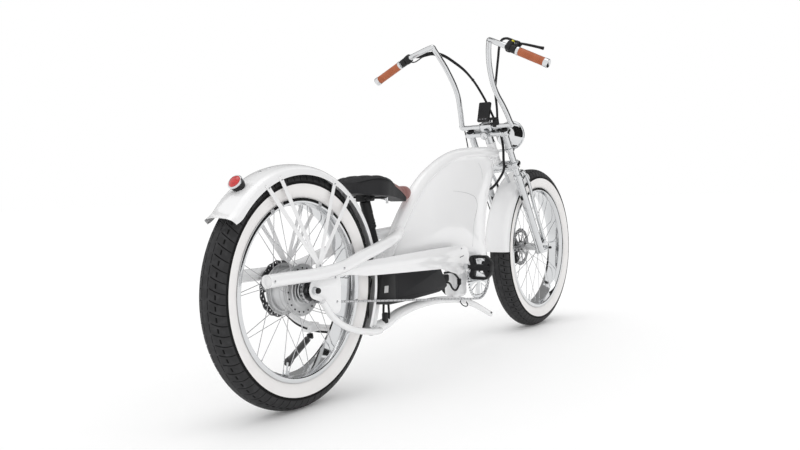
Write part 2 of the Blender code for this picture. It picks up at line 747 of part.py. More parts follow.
def fender_struts():
    """On each side, four flat strips that fan out from one bracket to the rear fender's edge."""
    for side, word in ((RIGHT, "right"), (LEFT, "left")):
        foot = Vector((STRUT_FOOT[0], side * 0.0665, STRUT_FOOT[1]))
        half = Vector((0, 0.0028, 0))
        hub = cylinder("fender_strut_" + word, foot - half, foot + half, 0.014)
        for degrees in STRUT_ANGLES:
            angle = radians(degrees)
            top = REAR_AXLE + Vector((0.364 * cos(angle), side * 0.0595, 0.364 * sin(angle)))
            run = top - foot
            across = Vector((0, 1, 0)).cross(run).normalized()
            turn = Matrix((across, run.cross(across).normalized(), run.normalized())).transposed()
            join(hub, box("strip", (STRUT_WIDTH, 0.0026, run.length + 0.006), (foot + top) / 2, turn))
        finished(hub, WHITE)


TAIL_LIGHT = Vector((-0.238, 0.0, 0.710))
TAIL_FACE = Vector((-0.80, 0.0, 0.60)).normalized()


def tail_light():
    base = cylinder("tail_light_base", TAIL_LIGHT - TAIL_FACE * 0.032, TAIL_LIGHT, 0.013, top=0.0215)
    finished(cut(base, fender_space("fender_space", *REAR_FENDER)), BLACK)
    dome = [(0.0, 0.011), (0.008, 0.0095), (0.015, 0.006), (0.0195, GAP), (0.0, GAP)]
    finished(turned("tail_light_lens", dome, TAIL_LIGHT, TAIL_FACE, 16, closed=False), RED)


# Saddle


SADDLE_X = (0.303, 0.318, 0.350, 0.395, 0.450, 0.510, 0.560, 0.598)
SADDLE_HALF = (0.034, 0.064, 0.088, 0.096, 0.084, 0.058, 0.042, 0.035)
SADDLE_TOP = (0.702, 0.712, 0.721, 0.725, 0.717, 0.700, 0.689, 0.684)
SADDLE_SEAM = (0.6985, 0.7080, 0.7165, 0.7195, 0.7095, 0.6870, 0.6640, 0.6420)
SADDLE_LOW = (0.664, 0.660, 0.657, 0.654, 0.650, 0.644, 0.636, 0.628)
SADDLE_SKIN = 0.006
NOSE = ((0.602, 0.0345, 0.684, 0.634), (0.632, 0.031, 0.683, 0.640), (0.652, 0.022, 0.677, 0.652),
        (0.661, 0.010, 0.671, 0.661))


def saddle_ring(x, half, low, high, crown, sides=20):
    """A cross-section with straight lower sides and a rounded top."""
    ring = []
    for k in range(sides):
        angle = 2 * pi * (k + 0.5) / sides
        y = half * (abs(cos(angle)) ** 0.6) * (1 if cos(angle) > 0 else -1)
        if sin(angle) > 0:
            z = high - crown + crown * sin(angle) ** 0.9
        else:
            z = low
            y *= 0.94
        ring.append((x, y, z))
    return ring


def saddle():
    cover_rings = []
    base_rings = []
    for x, half, top, seam, low in zip(SADDLE_X, SADDLE_HALF, SADDLE_TOP, SADDLE_SEAM, SADDLE_LOW):
        cover_rings.append(saddle_ring(x, half - 0.002, seam + GAP, top, top - seam - 0.002))
        base_rings.append(saddle_ring(x, half, low, seam, 0.0))
    for x, half, top, low in NOSE:
        cover_rings.append(saddle_ring(x, half, low, top, 0.022))
    finished(loft("saddle_cover", cover_rings), SEAT_COVER, 60)
    base = loft("saddle_base", base_rings)
    inner = []
    for x, half, seam in zip(SADDLE_X[1:-1], SADDLE_HALF[1:-1], SADDLE_SEAM[1:-1]):
        inner.append(saddle_ring(x, half - 0.012, 0.600, seam - SADDLE_SKIN, 0.0))
    finished(cut(base, loft("saddle_hollow", inner)), BLACK)


SLEEVE_R = 0.0190
SLEEVE_FOOT = 0.150
SLEEVE_TOP = 0.262


def seat_posts():
    """The fixed post, and the sprung sleeve that slides on it and carries the saddle."""
    post = cylinder("seat_post", POST_LOW + POST_UP * 0.0045, POST_LOW + POST_UP * 0.215, POST_R)
    collar = POST_LOW + POST_UP * (SEAT_TUBE_LENGTH + GAP)
    join(post, cylinder("post_collar", collar, collar + POST_UP * 0.010, SEAT_TUBE_R + 0.001))
    finished(post, BLACK)
    low, top = POST_LOW + POST_UP * SLEEVE_FOOT, POST_LOW + POST_UP * (SLEEVE_TOP - 0.010)
    sleeve = cylinder("post_sleeve", low, top, SLEEVE_R)
    head_z = SADDLE_SEAM[2] - SADDLE_SKIN - GAP
    head = box("saddle_clamp", (0.050, 0.052, 0.026), (0.390, 0.0, 0.648), rounding=0.004)
    pillar = box("saddle_pillar", (0.036, 0.036, head_z - 0.650), (0.374, 0.0, (head_z + 0.650) / 2))
    join(sleeve, head, pillar)
    for side in (RIGHT, LEFT):
        rail = [(0.352, side * 0.020, 0.650), (0.45, side * 0.021, 0.645), (0.53, side * 0.014, 0.649)]
        join(sleeve, tube("rail", rail, 0.0035, sides=8))
    cut(sleeve, cylinder("sleeve_bore", low - POST_UP * 0.01, POST_LOW + POST_UP * 0.249, POST_R + RUNNING))
    finished(sleeve, BLACK)


# Kickstand


KICK_PIVOT = Vector((0.190, 0.100, 0.187))
KICK_FOOT = Vector((0.276, 0.272, 0.072))
KICK_STOWED = Vector((-0.93, 0.30, 0.20)).normalized()
KICK_AXIS = (KICK_FOOT - KICK_PIVOT).normalized().cross(KICK_STOWED).normalized()


def kickstand():
    """The leg on its pivot pin, with a rubber foot."""
    run = (KICK_FOOT - KICK_PIVOT).normalized()
    leg = cylinder("kickstand_leg", KICK_PIVOT, KICK_FOOT, 0.008, sides=14)
    shank = cylinder("kickstand_shank", KICK_PIVOT + run * 0.018, KICK_FOOT, 0.0115, sides=16)
    eye = cylinder("kickstand_eye", KICK_PIVOT - KICK_AXIS * 0.007, KICK_PIVOT + KICK_AXIS * 0.007, 0.011)
    foot = cylinder("kickstand_foot", KICK_FOOT - run * 0.018, KICK_FOOT + run * 0.022, 0.013, top=0.016)
    join(leg, shank, eye, foot)
    through = KICK_AXIS * 0.02
    cut(leg, cylinder("kickstand_bore", KICK_PIVOT - through, KICK_PIVOT + through, 0.0043))
    hinge_on("kickstand_axis", KICK_PIVOT, [finished(leg, BLACK)])


# Drive


def toothed(centre, teeth):
    """The outline of a sprocket for the chain, two points to a tooth."""
    pitch = pitch_radius(teeth)
    root, tip = pitch - 0.0040, pitch + 0.0032
    step = 2 * pi / teeth
    points = []
    for k in range(teeth):
        for share, radius in ((-0.5, root), (0.0, tip)):
            angle = (k + share) * step
            points.append((centre.x + radius * cos(angle), centre.z + radius * sin(angle)))
    return points


def belt(offset, sides=20):
    """The line of a belt round both sprockets, moved outward by an offset."""
    big, small = RING_R + offset, FREEWHEEL_R + offset
    dx, dz = BB.x - REAR_AXLE.x, BB.z - REAR_AXLE.z
    reach = hypot(dx, dz)
    lean = atan2(dz, dx)
    wrap = pi / 2 + atan2(big - small, (reach ** 2 - (big - small) ** 2) ** 0.5)
    points = []
    for k in range(sides + 1):
        angle = lean - wrap + 2 * wrap * k / sides
        points.append((BB.x + big * cos(angle), BB.z + big * sin(angle)))
    few = sides // 2
    rest = 2 * pi - 2 * wrap
    for k in range(few + 1):
        angle = lean + wrap + rest * k / few
        points.append((REAR_AXLE.x + small * cos(angle), REAR_AXLE.z + small * sin(angle)))
    return points


def chain():
    """One closed run of chain, grooved on the inside where the teeth go."""
    half = CHAIN_WIDTH / 2
    band = plate("chain", belt(0.0052), CHAIN_Y - half, CHAIN_Y + half, [belt(-0.0043)])
    groove = plate("groove", belt(0.0040), CHAIN_Y - 0.0021, CHAIN_Y + 0.0021, [belt(-0.0060)])
    return finished(cut(band, groove), ALLOY)


def freewheel():
    body_r, bore = 0.027, REAR_AXLE_R + 0.002
    profile = [(bore, -0.0635), (body_r, -0.0635), (body_r, -0.0463), (bore, -0.0463)]
    wheel = turned("freewheel", profile, REAR_AXLE, steps=16)
    hole = circle(REAR_AXLE, bore + 0.003, 12)
    cog = plate("cog", toothed(REAR_AXLE, FREEWHEEL_TEETH), CHAIN_Y - 0.0015, CHAIN_Y + 0.0015, [hole])
    join(wheel, cog)
    hinge_on("freewheel_axis", REAR_AXLE, [finished(wheel, BLACK)])


def crank_arm(name, side):
    """A crank arm with its root boss, its end boss and the pedal's pin."""
    angle = CRANK_ANGLE if side == RIGHT else CRANK_ANGLE + pi
    end = BB + Vector((CRANK_LENGTH * cos(angle), side * CRANK_Y, CRANK_LENGTH * sin(angle)))
    root = BB + Vector((0, side * (CRANK_Y - 0.016), 0))
    arm = tube(name, [root, (root + end) / 2, end], 0.0105, sides=8, sizes=(1.2, 1.0, 0.9))
    out = Vector((0, side, 0))
    join(arm, cylinder("crank_root", BB + out * 0.0785, BB + out * 0.0950, 0.017))
    join(arm, cylinder("crank_end", end - out * 0.008, end + out * 0.009, 0.0125))
    pin_length = PEDAL_IN - CRANK_Y + PEDAL_WIDTH - 0.006
    join(arm, cylinder("pedal_pin", end, end + out * pin_length, PEDAL_PIN_R, sides=10))
    return arm, end


def crankset():
    left, left_end = crank_arm("crank_left", LEFT)
    across = Vector((0, 1, 0))
    spindle = cylinder("spindle", BB - across * 0.0945, BB + across * 0.082, SPINDLE_R, sides=12)
    finished(join(left, spindle), CHROME)
    right, right_end = crank_arm("crank_right", RIGHT)
    boss = cylinder("ring_boss", BB - across * 0.0800, BB - across * 0.0540, 0.013)
    bore = cylinder("crank_bore", BB - across * 0.12, BB - across * 0.03, SPINDLE_R + GAP, sides=12)
    finished(cut(join(right, boss), bore), CHROME)
    windows = []
    for k in range(5):
        middle = 2 * pi * k / 5 + radians(18)
        corners = [(0.030, -16), (0.048, -25), (0.068, -20), (0.068, 20), (0.048, 25), (0.030, 16)]
        windows.append([
            (BB.x + r * cos(middle + radians(a)), BB.z + r * sin(middle + radians(a))) for r, a in corners
        ])
    bore_hole = circle(BB, 0.013 + GAP, 16)
    teeth = toothed(BB, RING_TEETH)
    ring = plate("chainring", teeth, CHAIN_Y - 0.0015, CHAIN_Y + 0.0015, [bore_hole, *windows])
    hinge_on("crank_axis", BB, [left, right, finished(ring, CHROME)])
    for end, side, word in ((right_end, RIGHT, "right"), (left_end, LEFT, "left")):
        pedal("pedal_" + word, end, side)


def pedal(name, end, side):
    """A platform pedal, hanging upright: a frame with two windows, bored for its pin."""
    half_long, half_wide = PEDAL_LENGTH / 2, PEDAL_WIDTH / 2
    middle = Vector((end.x, side * (PEDAL_IN + half_wide), end.z))
    outline = [
        (-half_wide + 0.012, -half_long), (half_wide - 0.024, -half_long),
        (half_wide - 0.006, -half_long + 0.018), (half_wide, -0.018), (half_wide, 0.018),
        (half_wide - 0.006, half_long - 0.018),
        (half_wide - 0.024, half_long), (-half_wide + 0.012, half_long), (-half_wide, half_long - 0.014),
        (-half_wide + 0.008, 0.012), (-half_wide + 0.008, -0.012), (-half_wide, -half_long + 0.014),
    ]
    windows = []
    for way in (1, -1):
        low, high = way * 0.012, way * 0.037
        windows.append([(-0.024, low), (0.014, low), (0.026, high), (-0.030, high)])
    body = plate(name, outline, -PEDAL_THICK / 2, PEDAL_THICK / 2, windows)
    turn = Matrix.Rotation(side * pi / 2, 4, "Z")
    body.matrix_world = Matrix.Translation(middle) @ turn @ body.matrix_world
    out = Vector((0, side, 0))
    sleeve_end = middle + out * half_wide * 0.9
    sleeve = cylinder("pedal_sleeve", middle - out * half_wide, sleeve_end, 0.0095, sides=10)
    pin_end = Vector((end.x, side * (PEDAL_IN + PEDAL_WIDTH - 0.004), end.z))
    bore = cylinder("pedal_bore", end, pin_end, PEDAL_PIN_R + RUNNING, sides=10)
    hinge_on(name + "_axis", end, [finished(cut(join(body, sleeve), bore), BLACK)])


def rear_caliper():
    inner, outer = REAR_ROTOR_Y - 0.0145, DROPOUT_IN - GAP
    centre = REAR_AXLE + Vector((0.080, (inner + outer) / 2, -0.010))
    size = (0.034, outer - inner, 0.050)
    body = box("rear_caliper", size, centre, Matrix.Rotation(radians(7), 3, "Y"), rounding=0.002)
    return finished(cut(body, rotor_space(REAR_AXLE, REAR_ROTOR_Y)), BLACK)


def rotor_space(centre, y):
    """The slot that a caliper needs round its rotor, as a solid disc."""
    half = ROTOR_THICK / 2 + 0.0008
    return cylinder("rotor_space", centre + Vector((0, y - half, 0)), centre + Vector((0, y + half, 0)),
                    ROTOR_R + 0.0015, sides=40)


# Fork


def fork_upper():
    """Steerer, lower crown and both stanchions, pressed into one and bored from below."""
    body = cylinder("fork_upper", fork(-0.052, 0), fork(LOW_CROWN_S - 0.003, 0), STEERER_R)
    size = (0.046, 2 * STANCHION_Y + 0.048, 0.024)
    crown = box("low_crown", size, fork(LOW_CROWN_S, 0), FORK_TURN, rounding=0.007)
    race_top = fork(HEAD_TUBE_LENGTH + GAP, 0)
    race = cylinder("crown_race", race_top, fork(LOW_CROWN_S + 0.002, 0), HEAD_TUBE_R)
    join(body, crown, race)
    bores = [cylinder("steerer_inside", fork(-0.044, 0), fork(0.150, 0), STEERER_R - 0.003)]
    for side in (RIGHT, LEFT):
        y = side * STANCHION_Y
        join(body, cylinder("stanchion", fork(-0.056, 0, y), fork(0.430, 0, y), STANCHION_R, sides=12))
        bores.append(cylinder("stanchion_inside", fork(-0.048, 0, y), fork(0.44, 0, y), STANCHION_R - 0.003,
                              sides=12))
    return finished(cut(body, *bores), CHROME)


def stanchion_spaces(extra):
    return [
        cylinder("stanchion_space", fork(-0.08, 0, side * STANCHION_Y), fork(0.08, 0, side * STANCHION_Y),
                 STANCHION_R + extra, sides=12)
        for side in (RIGHT, LEFT)
    ]


def bar_points():
    """The handlebar's run, from the left grip's end to the right one's."""
    half = [
        (1.053, 0.400, 1.139), (1.0524, 0.340, 1.1683), (1.0516, 0.280, 1.1976), (1.0512, 0.228, 1.2229),
        (1.062, 0.182, 1.243), (1.083, 0.134, 1.261), (1.112, 0.115, 1.216), (1.148, 0.100, 1.162),
        (1.207, 0.092, 1.077), (1.262, 0.108, 0.998), (1.294, 0.120, 0.938), (1.298, 0.100, 0.930),
        (1.298, 0.040, 0.930),
    ]
    return both_ways(half)


def bar_tube(name, extra=0.0):
    return tube(name, bar_points(), BAR_R + extra, sides=8)


def bar_clamp(name, extra=0.0, rounding=0.0):
    size = [side + 2 * extra for side in (0.040, 0.060, 0.040)]
    return box(name, size, BAR_CLAMP, FORK_TURN, rounding=rounding)


def upper_crown():
    size = (0.044, 2 * STANCHION_Y + 0.046, 0.018)
    crown = box("upper_crown", size, fork(TOP_CROWN_S, 0), FORK_TURN, rounding=0.005)
    spacer = cylinder("headset_spacer", fork(-GAP, 0), fork(TOP_CROWN_S, 0), HEAD_TUBE_R)
    join(crown, spacer, bar_clamp("bar_clamp", rounding=0.006))
    steerer = cylinder("steerer_space", fork(-0.0525, 0), fork(0.02, 0), STEERER_R + GAP)
    return finished(cut(crown, steerer, bar_tube("bar_space", GAP), *stanchion_spaces(GAP)), CHROME)


def fork_lowers():
    """Both sliders with their front rods, end plates and the arch over the wheel."""
    body = None
    for side in (RIGHT, LEFT):
        y = side * STANCHION_Y
        slider = cylinder("slider", fork(0.170, 0, y), fork(0.600, 0, y), SLIDER_R, sides=12)
        body = join(body, slider) if body else slider
        rod = [fork(0.186, 0.0, y), fork(0.176, 0.032, y), fork(0.200, 0.060, y),
               fork(0.40, ROD_FORWARD, y), fork(0.592, ROD_FORWARD, y)]
        join(body, tube("rod", rod, ROD_R, sides=8))
        corners = ((0.545, -0.012), (0.545, 0.072), (0.645, 0.092), (0.652, 0.068), (0.606, -0.012))
        outline = [fork(*q) for q in corners]
        edges = sorted((side * FORK_END_IN, side * (FORK_END_IN + FORK_END_THICK)))
        join(body, plate("fork_end", [(q.x, q.z) for q in outline], *edges))
    arch = [fork(0.200, 0.0, STANCHION_Y - 0.002), fork(0.180, 0.026, STANCHION_Y - 0.014),
            fork(0.170, 0.036, 0.012)]
    join(body, tube("arch", both_ways(arch), 0.008, sides=8))
    join(body, cylinder("fender_bracket", fork(0.170, 0.036), fork(0.262, 0.055), 0.007, sides=10))
    bores = [cylinder("slider_bore", fork(0.15, 0, side * STANCHION_Y), fork(0.47, 0, side * STANCHION_Y),
                      STANCHION_R + RUNNING, sides=12) for side in (RIGHT, LEFT)]
    axle = cylinder("axle_space", FRONT_AXLE - Vector((0, 0.12, 0)), FRONT_AXLE + Vector((0, 0.12, 0)),
                    FRONT_AXLE_R + GAP, sides=12)
    body.name = "fork_lowers"
    return finished(cut(body, *bores, axle, fender_space("fender_space", *FRONT_FENDER)), CHROME)


def front_caliper():
    inner, outer = 0.0455, FORK_END_IN - GAP
    centre = fork(0.632, -0.006, (inner + outer) / 2)
    body = box("front_caliper", (0.036, outer - inner, 0.056), centre, FORK_TURN, rounding=0.002)
    slider_end = fork(0.6 + GAP, 0, STANCHION_Y)
    slider = cylinder("slider_space", fork(0.16, 0, STANCHION_Y), slider_end, SLIDER_R + GAP, sides=12)
    return finished(cut(body, rotor_space(FRONT_AXLE, FRONT_ROTOR_Y), slider), BLACK)


# Handlebar and what it carries


def grip_line(side):
    inner, outer = Vector((1.0515, side * 0.272, 1.2015)), Vector((1.053, side * 0.392, 1.143))
    return inner, outer


def grips():
    for side, word in ((RIGHT, "right"), (LEFT, "left")):
        inner, outer = grip_line(side)
        grip = cylinder("grip_" + word, inner, outer, GRIP_R, sides=14)
        finished(cut(grip, bar_tube("bar_space", GAP)), LEATHER)


def lever_axes(side):
    """Along the grip, out towards the lever, and the pivot's own direction."""
    inner, outer = grip_line(side)
    length = (outer - inner).normalized()
    lift = radians(62 if side == RIGHT else 30)
    out = Vector((cos(lift), 0.0, sin(lift)))
    out = (out - length * out.dot(length)).normalized()
    return length, out, length.cross(out)


LEVER_PIN = 0.0035
POD_IN = 0.038


def lever_pivot(side):
    inner, _ = grip_line(side)
    length, out, _ = lever_axes(side)
    return inner - length * 0.014 + out * (LEVER_OUT - 0.014)


def controls():
    for side, word in ((RIGHT, "right"), (LEFT, "left")):
        inner, _ = grip_line(side)
        length, out, axis = lever_axes(side)
        pivot = lever_pivot(side)
        turn = Matrix((length, out, axis)).transposed()
        ring_ends = inner - length * 0.026, inner - length * 0.004
        ring = cylinder("lever_clamp_" + word, *ring_ends, 0.0165, sides=12)
        reach = LEVER_OUT - 0.012
        arm_centre = inner - length * 0.015 + out * reach / 2
        arm = box("perch", (0.018, reach, 0.020), arm_centre, turn, rounding=0.003)
        pod = box("pod", (0.026, 0.040, 0.036), inner - length * POD_IN + out * 0.004, turn, rounding=0.006)
        join(ring, arm, pod)
        slot = box("lever_space", (0.040, 0.030, 0.0086), pivot + length * 0.005 + out * 0.001, turn)
        cut(ring, slot)
        join(ring, cylinder("lever_pin", pivot - axis * 0.0085, pivot + axis * 0.0085, LEVER_PIN, sides=10))
        if side == RIGHT:
            top = inner - length * POD_IN + out * 0.0245
            cut(ring, cylinder("button_space", top - out * 0.006, top + out * 0.01, 0.0055, sides=12))
            button = cylinder("power_button", top - out * 0.0030, top + out * 0.0035, 0.0052, sides=12)
            hinge_on("button_axis", top, [finished(button, YELLOW)])
        else:
            bell = inner - length * 0.040 + out * 0.020
            join(ring, cylinder("bell", bell, bell + out * 0.016, 0.0145, top=0.0095, sides=14))
        finished(cut(ring, bar_tube("bar_space", GAP)), BLACK)
        points = [pivot, pivot + length * 0.030 + out * 0.007, pivot + length * 0.104 + out * 0.020]
        lever = tube("brake_lever_" + word, points, 0.0042, sides=8, sizes=(0.9, 1.0, 0.9))
        join(lever, cylinder("lever_eye", pivot - axis * 0.0038, pivot + axis * 0.0038, 0.0078, sides=12))
        tip = points[-1]
        join(lever, cylinder("lever_end", tip - length * 0.004, tip + length * 0.004, 0.006, sides=10))
        through = axis * 0.02
        cut(lever, cylinder("lever_bore", pivot - through, pivot + through, LEVER_PIN + GAP, sides=10))
        hinge_on("lever_axis_" + word, pivot, [finished(lever, BLACK)])


def display():
    turn = Matrix.Rotation(radians(16), 3, "Y")
    body = box("display", (0.016, 0.056, 0.088), (1.272, -0.004, 0.992), turn, rounding=0.004)
    join(body, box("display_foot", (0.018, 0.018, 0.040), (1.292, -0.044, 0.946)))
    join(body, box("display_arm", (0.032, 0.030, 0.010), (1.278, -0.034, 0.962)))
    return finished(cut(body, bar_tube("bar_space", GAP), bar_clamp("clamp_space", GAP)), BLACK)


LIGHT_FACE = Vector((1.540, 0.0, 0.902))
LIGHT_R = 0.066
LIGHT_STEPS = 18


def headlight():
    """A chrome bowl on two arms from the stanchions, closed by a clear lens."""
    profile = [
        (0.0, -0.090), (0.030, -0.082), (0.049, -0.060), (0.059, -0.030), (0.061, -0.010),
        (LIGHT_R, -0.007), (LIGHT_R, 0.0), (0.0605, 0.0), (0.0565, -0.030), (0.0465, -0.059),
        (0.0290, -0.079), (0.0, -0.087),
    ]
    shell = turned("headlight_shell", profile, LIGHT_FACE, (1, 0, 0), LIGHT_STEPS, closed=False)
    under = LIGHT_FACE + Vector((-0.050, 0.0, -0.052))
    join(shell, cylinder("light_post", under, under + Vector((0.0, 0.0, -0.022)), 0.009, sides=10))
    for side in (RIGHT, LEFT):
        collar = fork(0.0415, 0, side * STANCHION_Y)
        half = DOWN_FORK * 0.008
        join(shell, cylinder("collar", collar - half, collar + half, 0.0185, sides=12))
        arm = [collar + ACROSS_FORK * 0.016, collar + Vector((0.056, -side * 0.018, -0.004)),
               under + Vector((0.0, side * 0.001, -0.016))]
        join(shell, tube("light_arm", arm, 0.006, sides=8))
    finished(cut(shell, *stanchion_spaces(GAP)), CHROME)
    edge = 0.0605 - GAP
    dome = [(0.0, 0.010), (0.030, 0.008), (0.050, 0.003), (edge, -0.0005), (edge, -0.0030), (0.0, -0.0030)]
    lens = turned("headlight_lens", dome, LIGHT_FACE, (1, 0, 0), LIGHT_STEPS, closed=False)
    finished(cut(lens, bowl_space()), CLEAR)


def bowl_space():
    """What keeps the lens's rim off the bowl's slanting inside."""
    rim = [(0.0605 - GAP, 0.001), (0.0590, -0.005), (0.075, -0.005), (0.075, 0.001)]
    return turned("bowl_space", rim, LIGHT_FACE, (1, 0, 0), LIGHT_STEPS)


# Cables


LOOM_LEFT = [
    (1.092, 0.214, 1.231), (1.118, 0.182, 1.244), (1.170, 0.158, 1.246), (1.244, 0.110, 1.204),
    (1.275, 0.070, 1.158), (1.308, 0.022, 1.069), (1.334, -0.024, 0.955),
]
LOOM_RIGHT = [
    (1.092, -0.214, 1.231), (1.120, -0.178, 1.247), (1.165, -0.140, 1.222), (1.210, -0.100, 1.150),
    (1.252, -0.070, 1.078), (1.306, -0.048, 1.000), (1.334, -0.034, 0.955),
]
LOOM_R = 0.0035


def cables():
    down = [
        Vector((1.334, -0.029, 0.970)), Vector((1.348, -0.040, 0.905)), fork(0.030, 0.014, -0.046),
        fork(0.080, -0.014, -0.046), fork(0.122, -0.036, -0.044), Vector((1.352, -0.030, 0.705)),
        NOSE_HOLE + Vector((0.022, 0.0, 0.004)), NOSE_HOLE - Vector((0.018, 0.0, 0.0)),
    ]
    loom = tube("cable_loom", down, LOOM_DOWN_R, sides=8)
    join(loom, tube("loom_left", LOOM_LEFT, LOOM_R, sides=6))
    join(loom, tube("loom_right", LOOM_RIGHT, LOOM_R, sides=6))
    join(loom, cylinder("loom_joint", (1.334, -0.029, 0.972), (1.336, -0.032, 0.940), 0.0095, sides=10))
    finished(loom, BLACK)
    brake = [
        Vector((1.092, 0.244, 1.212)), Vector((1.112, 0.192, 1.234)), Vector((1.128, 0.140, 1.232)),
        Vector((1.160, 0.108, 1.174)), Vector((1.219, 0.100, 1.086)), Vector((1.276, 0.116, 1.004)),
        fork(-0.060, 0.040, 0.132), fork(0.120, -0.012, 0.120), fork(0.240, -0.026, 0.098),
        fork(0.560, -0.028, 0.086), fork(0.612, -0.044, 0.062), fork(0.632, -0.0262, 0.0575),
    ]
    finished(tube("front_brake_cable", brake, 0.0025, sides=6), BLACK)


clear_scene()
PARTS = new_group("electric_stretch_cruiser")
SHAPING = new_group("shaping")

main_frame()
lower_frame()
upper_stays()
chainstays()
body_panels()
chain_guard()
battery()
finished(fender("rear_fender", *REAR_FENDER), WHITE)
fender_struts()
tail_light()
saddle()
seat_posts()
kickstand()
rear_wheel()
nutted_axle("rear_axle", REAR_AXLE, REAR_AXLE_R, REAR_AXLE_HALF, DROPOUT_IN + DROPOUT_THICK)
freewheel()
chain()
crankset()
rear_caliper()
fork_upper()
upper_crown()
fork_lowers()
finished(fender("front_fender", *FRONT_FENDER), WHITE)
front_wheel()
nutted_axle("front_axle", FRONT_AXLE, FRONT_AXLE_R, 0.096, FORK_END_IN + FORK_END_THICK)
front_caliper()
finished(bar_tube("handlebar"), CHROME)
grips()
controls()
display()
headlight()
cables()
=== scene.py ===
"""Looks of a long, low electric cruiser: white paint, chrome bars and fork, whitewall tyres and brown leather.

Metres, +X forward, +Y left, +Z up. The origin is where the rear tyre meets the ground.
"""

from math import atan2, cos, hypot, pi, radians, sin

import bmesh
import bpy
import numpy as np
from mathutils import Matrix, Vector


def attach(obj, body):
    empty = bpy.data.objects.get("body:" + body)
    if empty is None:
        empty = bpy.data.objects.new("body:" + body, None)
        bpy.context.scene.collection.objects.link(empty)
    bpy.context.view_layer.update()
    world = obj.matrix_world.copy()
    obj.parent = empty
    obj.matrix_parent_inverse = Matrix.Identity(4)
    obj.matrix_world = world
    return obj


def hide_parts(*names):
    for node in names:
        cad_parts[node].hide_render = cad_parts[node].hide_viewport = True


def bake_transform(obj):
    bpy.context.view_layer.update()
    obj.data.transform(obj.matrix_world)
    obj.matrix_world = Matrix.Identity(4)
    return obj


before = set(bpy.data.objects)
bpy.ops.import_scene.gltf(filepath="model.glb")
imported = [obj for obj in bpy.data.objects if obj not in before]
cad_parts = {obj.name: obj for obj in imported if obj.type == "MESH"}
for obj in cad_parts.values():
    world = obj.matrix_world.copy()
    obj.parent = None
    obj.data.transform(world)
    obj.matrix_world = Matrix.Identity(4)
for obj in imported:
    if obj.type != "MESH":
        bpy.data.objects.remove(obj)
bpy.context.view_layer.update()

RIGHT, LEFT = -1, 1
SIDES = ((RIGHT, "right"), (LEFT, "left"))


# Shaders


class Value:
    """A shader socket that can stand in a sum: wear * 0.2 + 0.4 adds the Math nodes."""

    def __init__(self, finish, socket):
        self.finish = finish
        self.socket = socket

    def with_(self, operation, other, swapped=False):
        pair = (other, self) if swapped else (self, other)
        return self.finish.add("ShaderNodeMath", {"operation": operation}, {0: pair[0], 1: pair[1]})

    def __add__(self, other):
        return self.with_("ADD", other)

    def __radd__(self, other):
        return self.with_("ADD", other, True)

    def __sub__(self, other):
        return self.with_("SUBTRACT", other)

    def __rsub__(self, other):
        return self.with_("SUBTRACT", other, True)

    def __mul__(self, other):
        return self.with_("MULTIPLY", other)

    def __rmul__(self, other):
        return self.with_("MULTIPLY", other, True)

    def __pow__(self, other):
        return self.with_("POWER", other)

    def sine(self):
        return self.with_("SINE", 0.0)

    def size(self):
        return self.with_("ABSOLUTE", 0.0)


class Finish:
    """One material: a Principled shader whose sockets take plain values or worked-out ones."""

    def __init__(self, name, colour, roughness, metallic=0.0, **fixed):
        self.material = bpy.data.materials.new(name)
        self.material.use_nodes = True
        self.tree = self.material.node_tree
        self.shader = self.tree.nodes["Principled BSDF"]
        self.feed("Base Color", (*colour, 1.0))
        self.feed("Roughness", roughness)
        self.feed("Metallic", metallic)
        for socket, value in fixed.items():
            self.feed(socket.replace("_", " "), value)

    def feed(self, socket, value):
        self.join(self.shader.inputs[socket], value)

    def join(self, socket, value):
        if isinstance(value, Value):
            self.tree.links.new(value.socket, socket)
        else:
            socket.default_value = value

    def add(self, kind, settings=None, values=None, out=0):
        """Adds a node of a type, sets its settings and then its sockets, and gives one of its outputs."""
        node = self.tree.nodes.new(kind)
        for name, value in (settings or {}).items():
            setattr(node, name, value)
        for name, value in (values or {}).items():
            self.join(node.inputs[name], value)
        return Value(self, node.outputs[out])

    def place(self):
        return self.add("ShaderNodeTexCoord", out="Object")

    def stretched(self, scale):
        return self.add("ShaderNodeMapping", values={"Vector": self.place(), "Scale": scale})

    def axis(self, name):
        """One of the place's three numbers."""
        return self.add("ShaderNodeSeparateXYZ", values={"Vector": self.place()}, out=name)

    def noise(self, scale, detail=3.0, vector=None):
        values = {"Vector": vector or self.place(), "Scale": scale, "Detail": detail}
        return self.add("ShaderNodeTexNoise", values=values)

    def cells(self, scale):
        return self.add("ShaderNodeTexVoronoi", values={"Vector": self.place(), "Scale": scale}, out="Distance")

    def ramp(self, value, low, high):
        """0 below low, 1 above high, and smooth between."""
        values = {"Value": value, "From Min": low, "From Max": high}
        return self.add("ShaderNodeMapRange", {"interpolation_type": "SMOOTHSTEP"}, values)

    def mix(self, share, colour, other):
        values = {0: share, 6: colour if isinstance(colour, Value) else (*colour, 1.0),
                  7: other if isinstance(other, Value) else (*other, 1.0)}
        return self.add("ShaderNodeMix", {"data_type": "RGBA"}, values, out=2)

    def bump(self, height, strength, depth):
        values = {"Height": height, "Strength": strength, "Distance": depth}
        self.feed("Normal", self.add("ShaderNodeBump", values=values))


def painted(name, colour, roughness=0.22):
    """Gloss paint: a clear coat over a ground with a faint ripple, and a little dust in its tone."""
    finish = Finish(name, colour, roughness, Coat_Weight=0.6, Coat_Roughness=0.06)
    cloud = finish.noise(3.0)
    finish.feed("Base Color", finish.mix(cloud, tuple(c * 0.975 for c in colour), colour))
    finish.feed("Roughness", roughness + (finish.noise(40.0) - 0.5) * 0.08)
    finish.bump(finish.noise(260.0, 1.0), 0.05, 0.0002)
    return finish


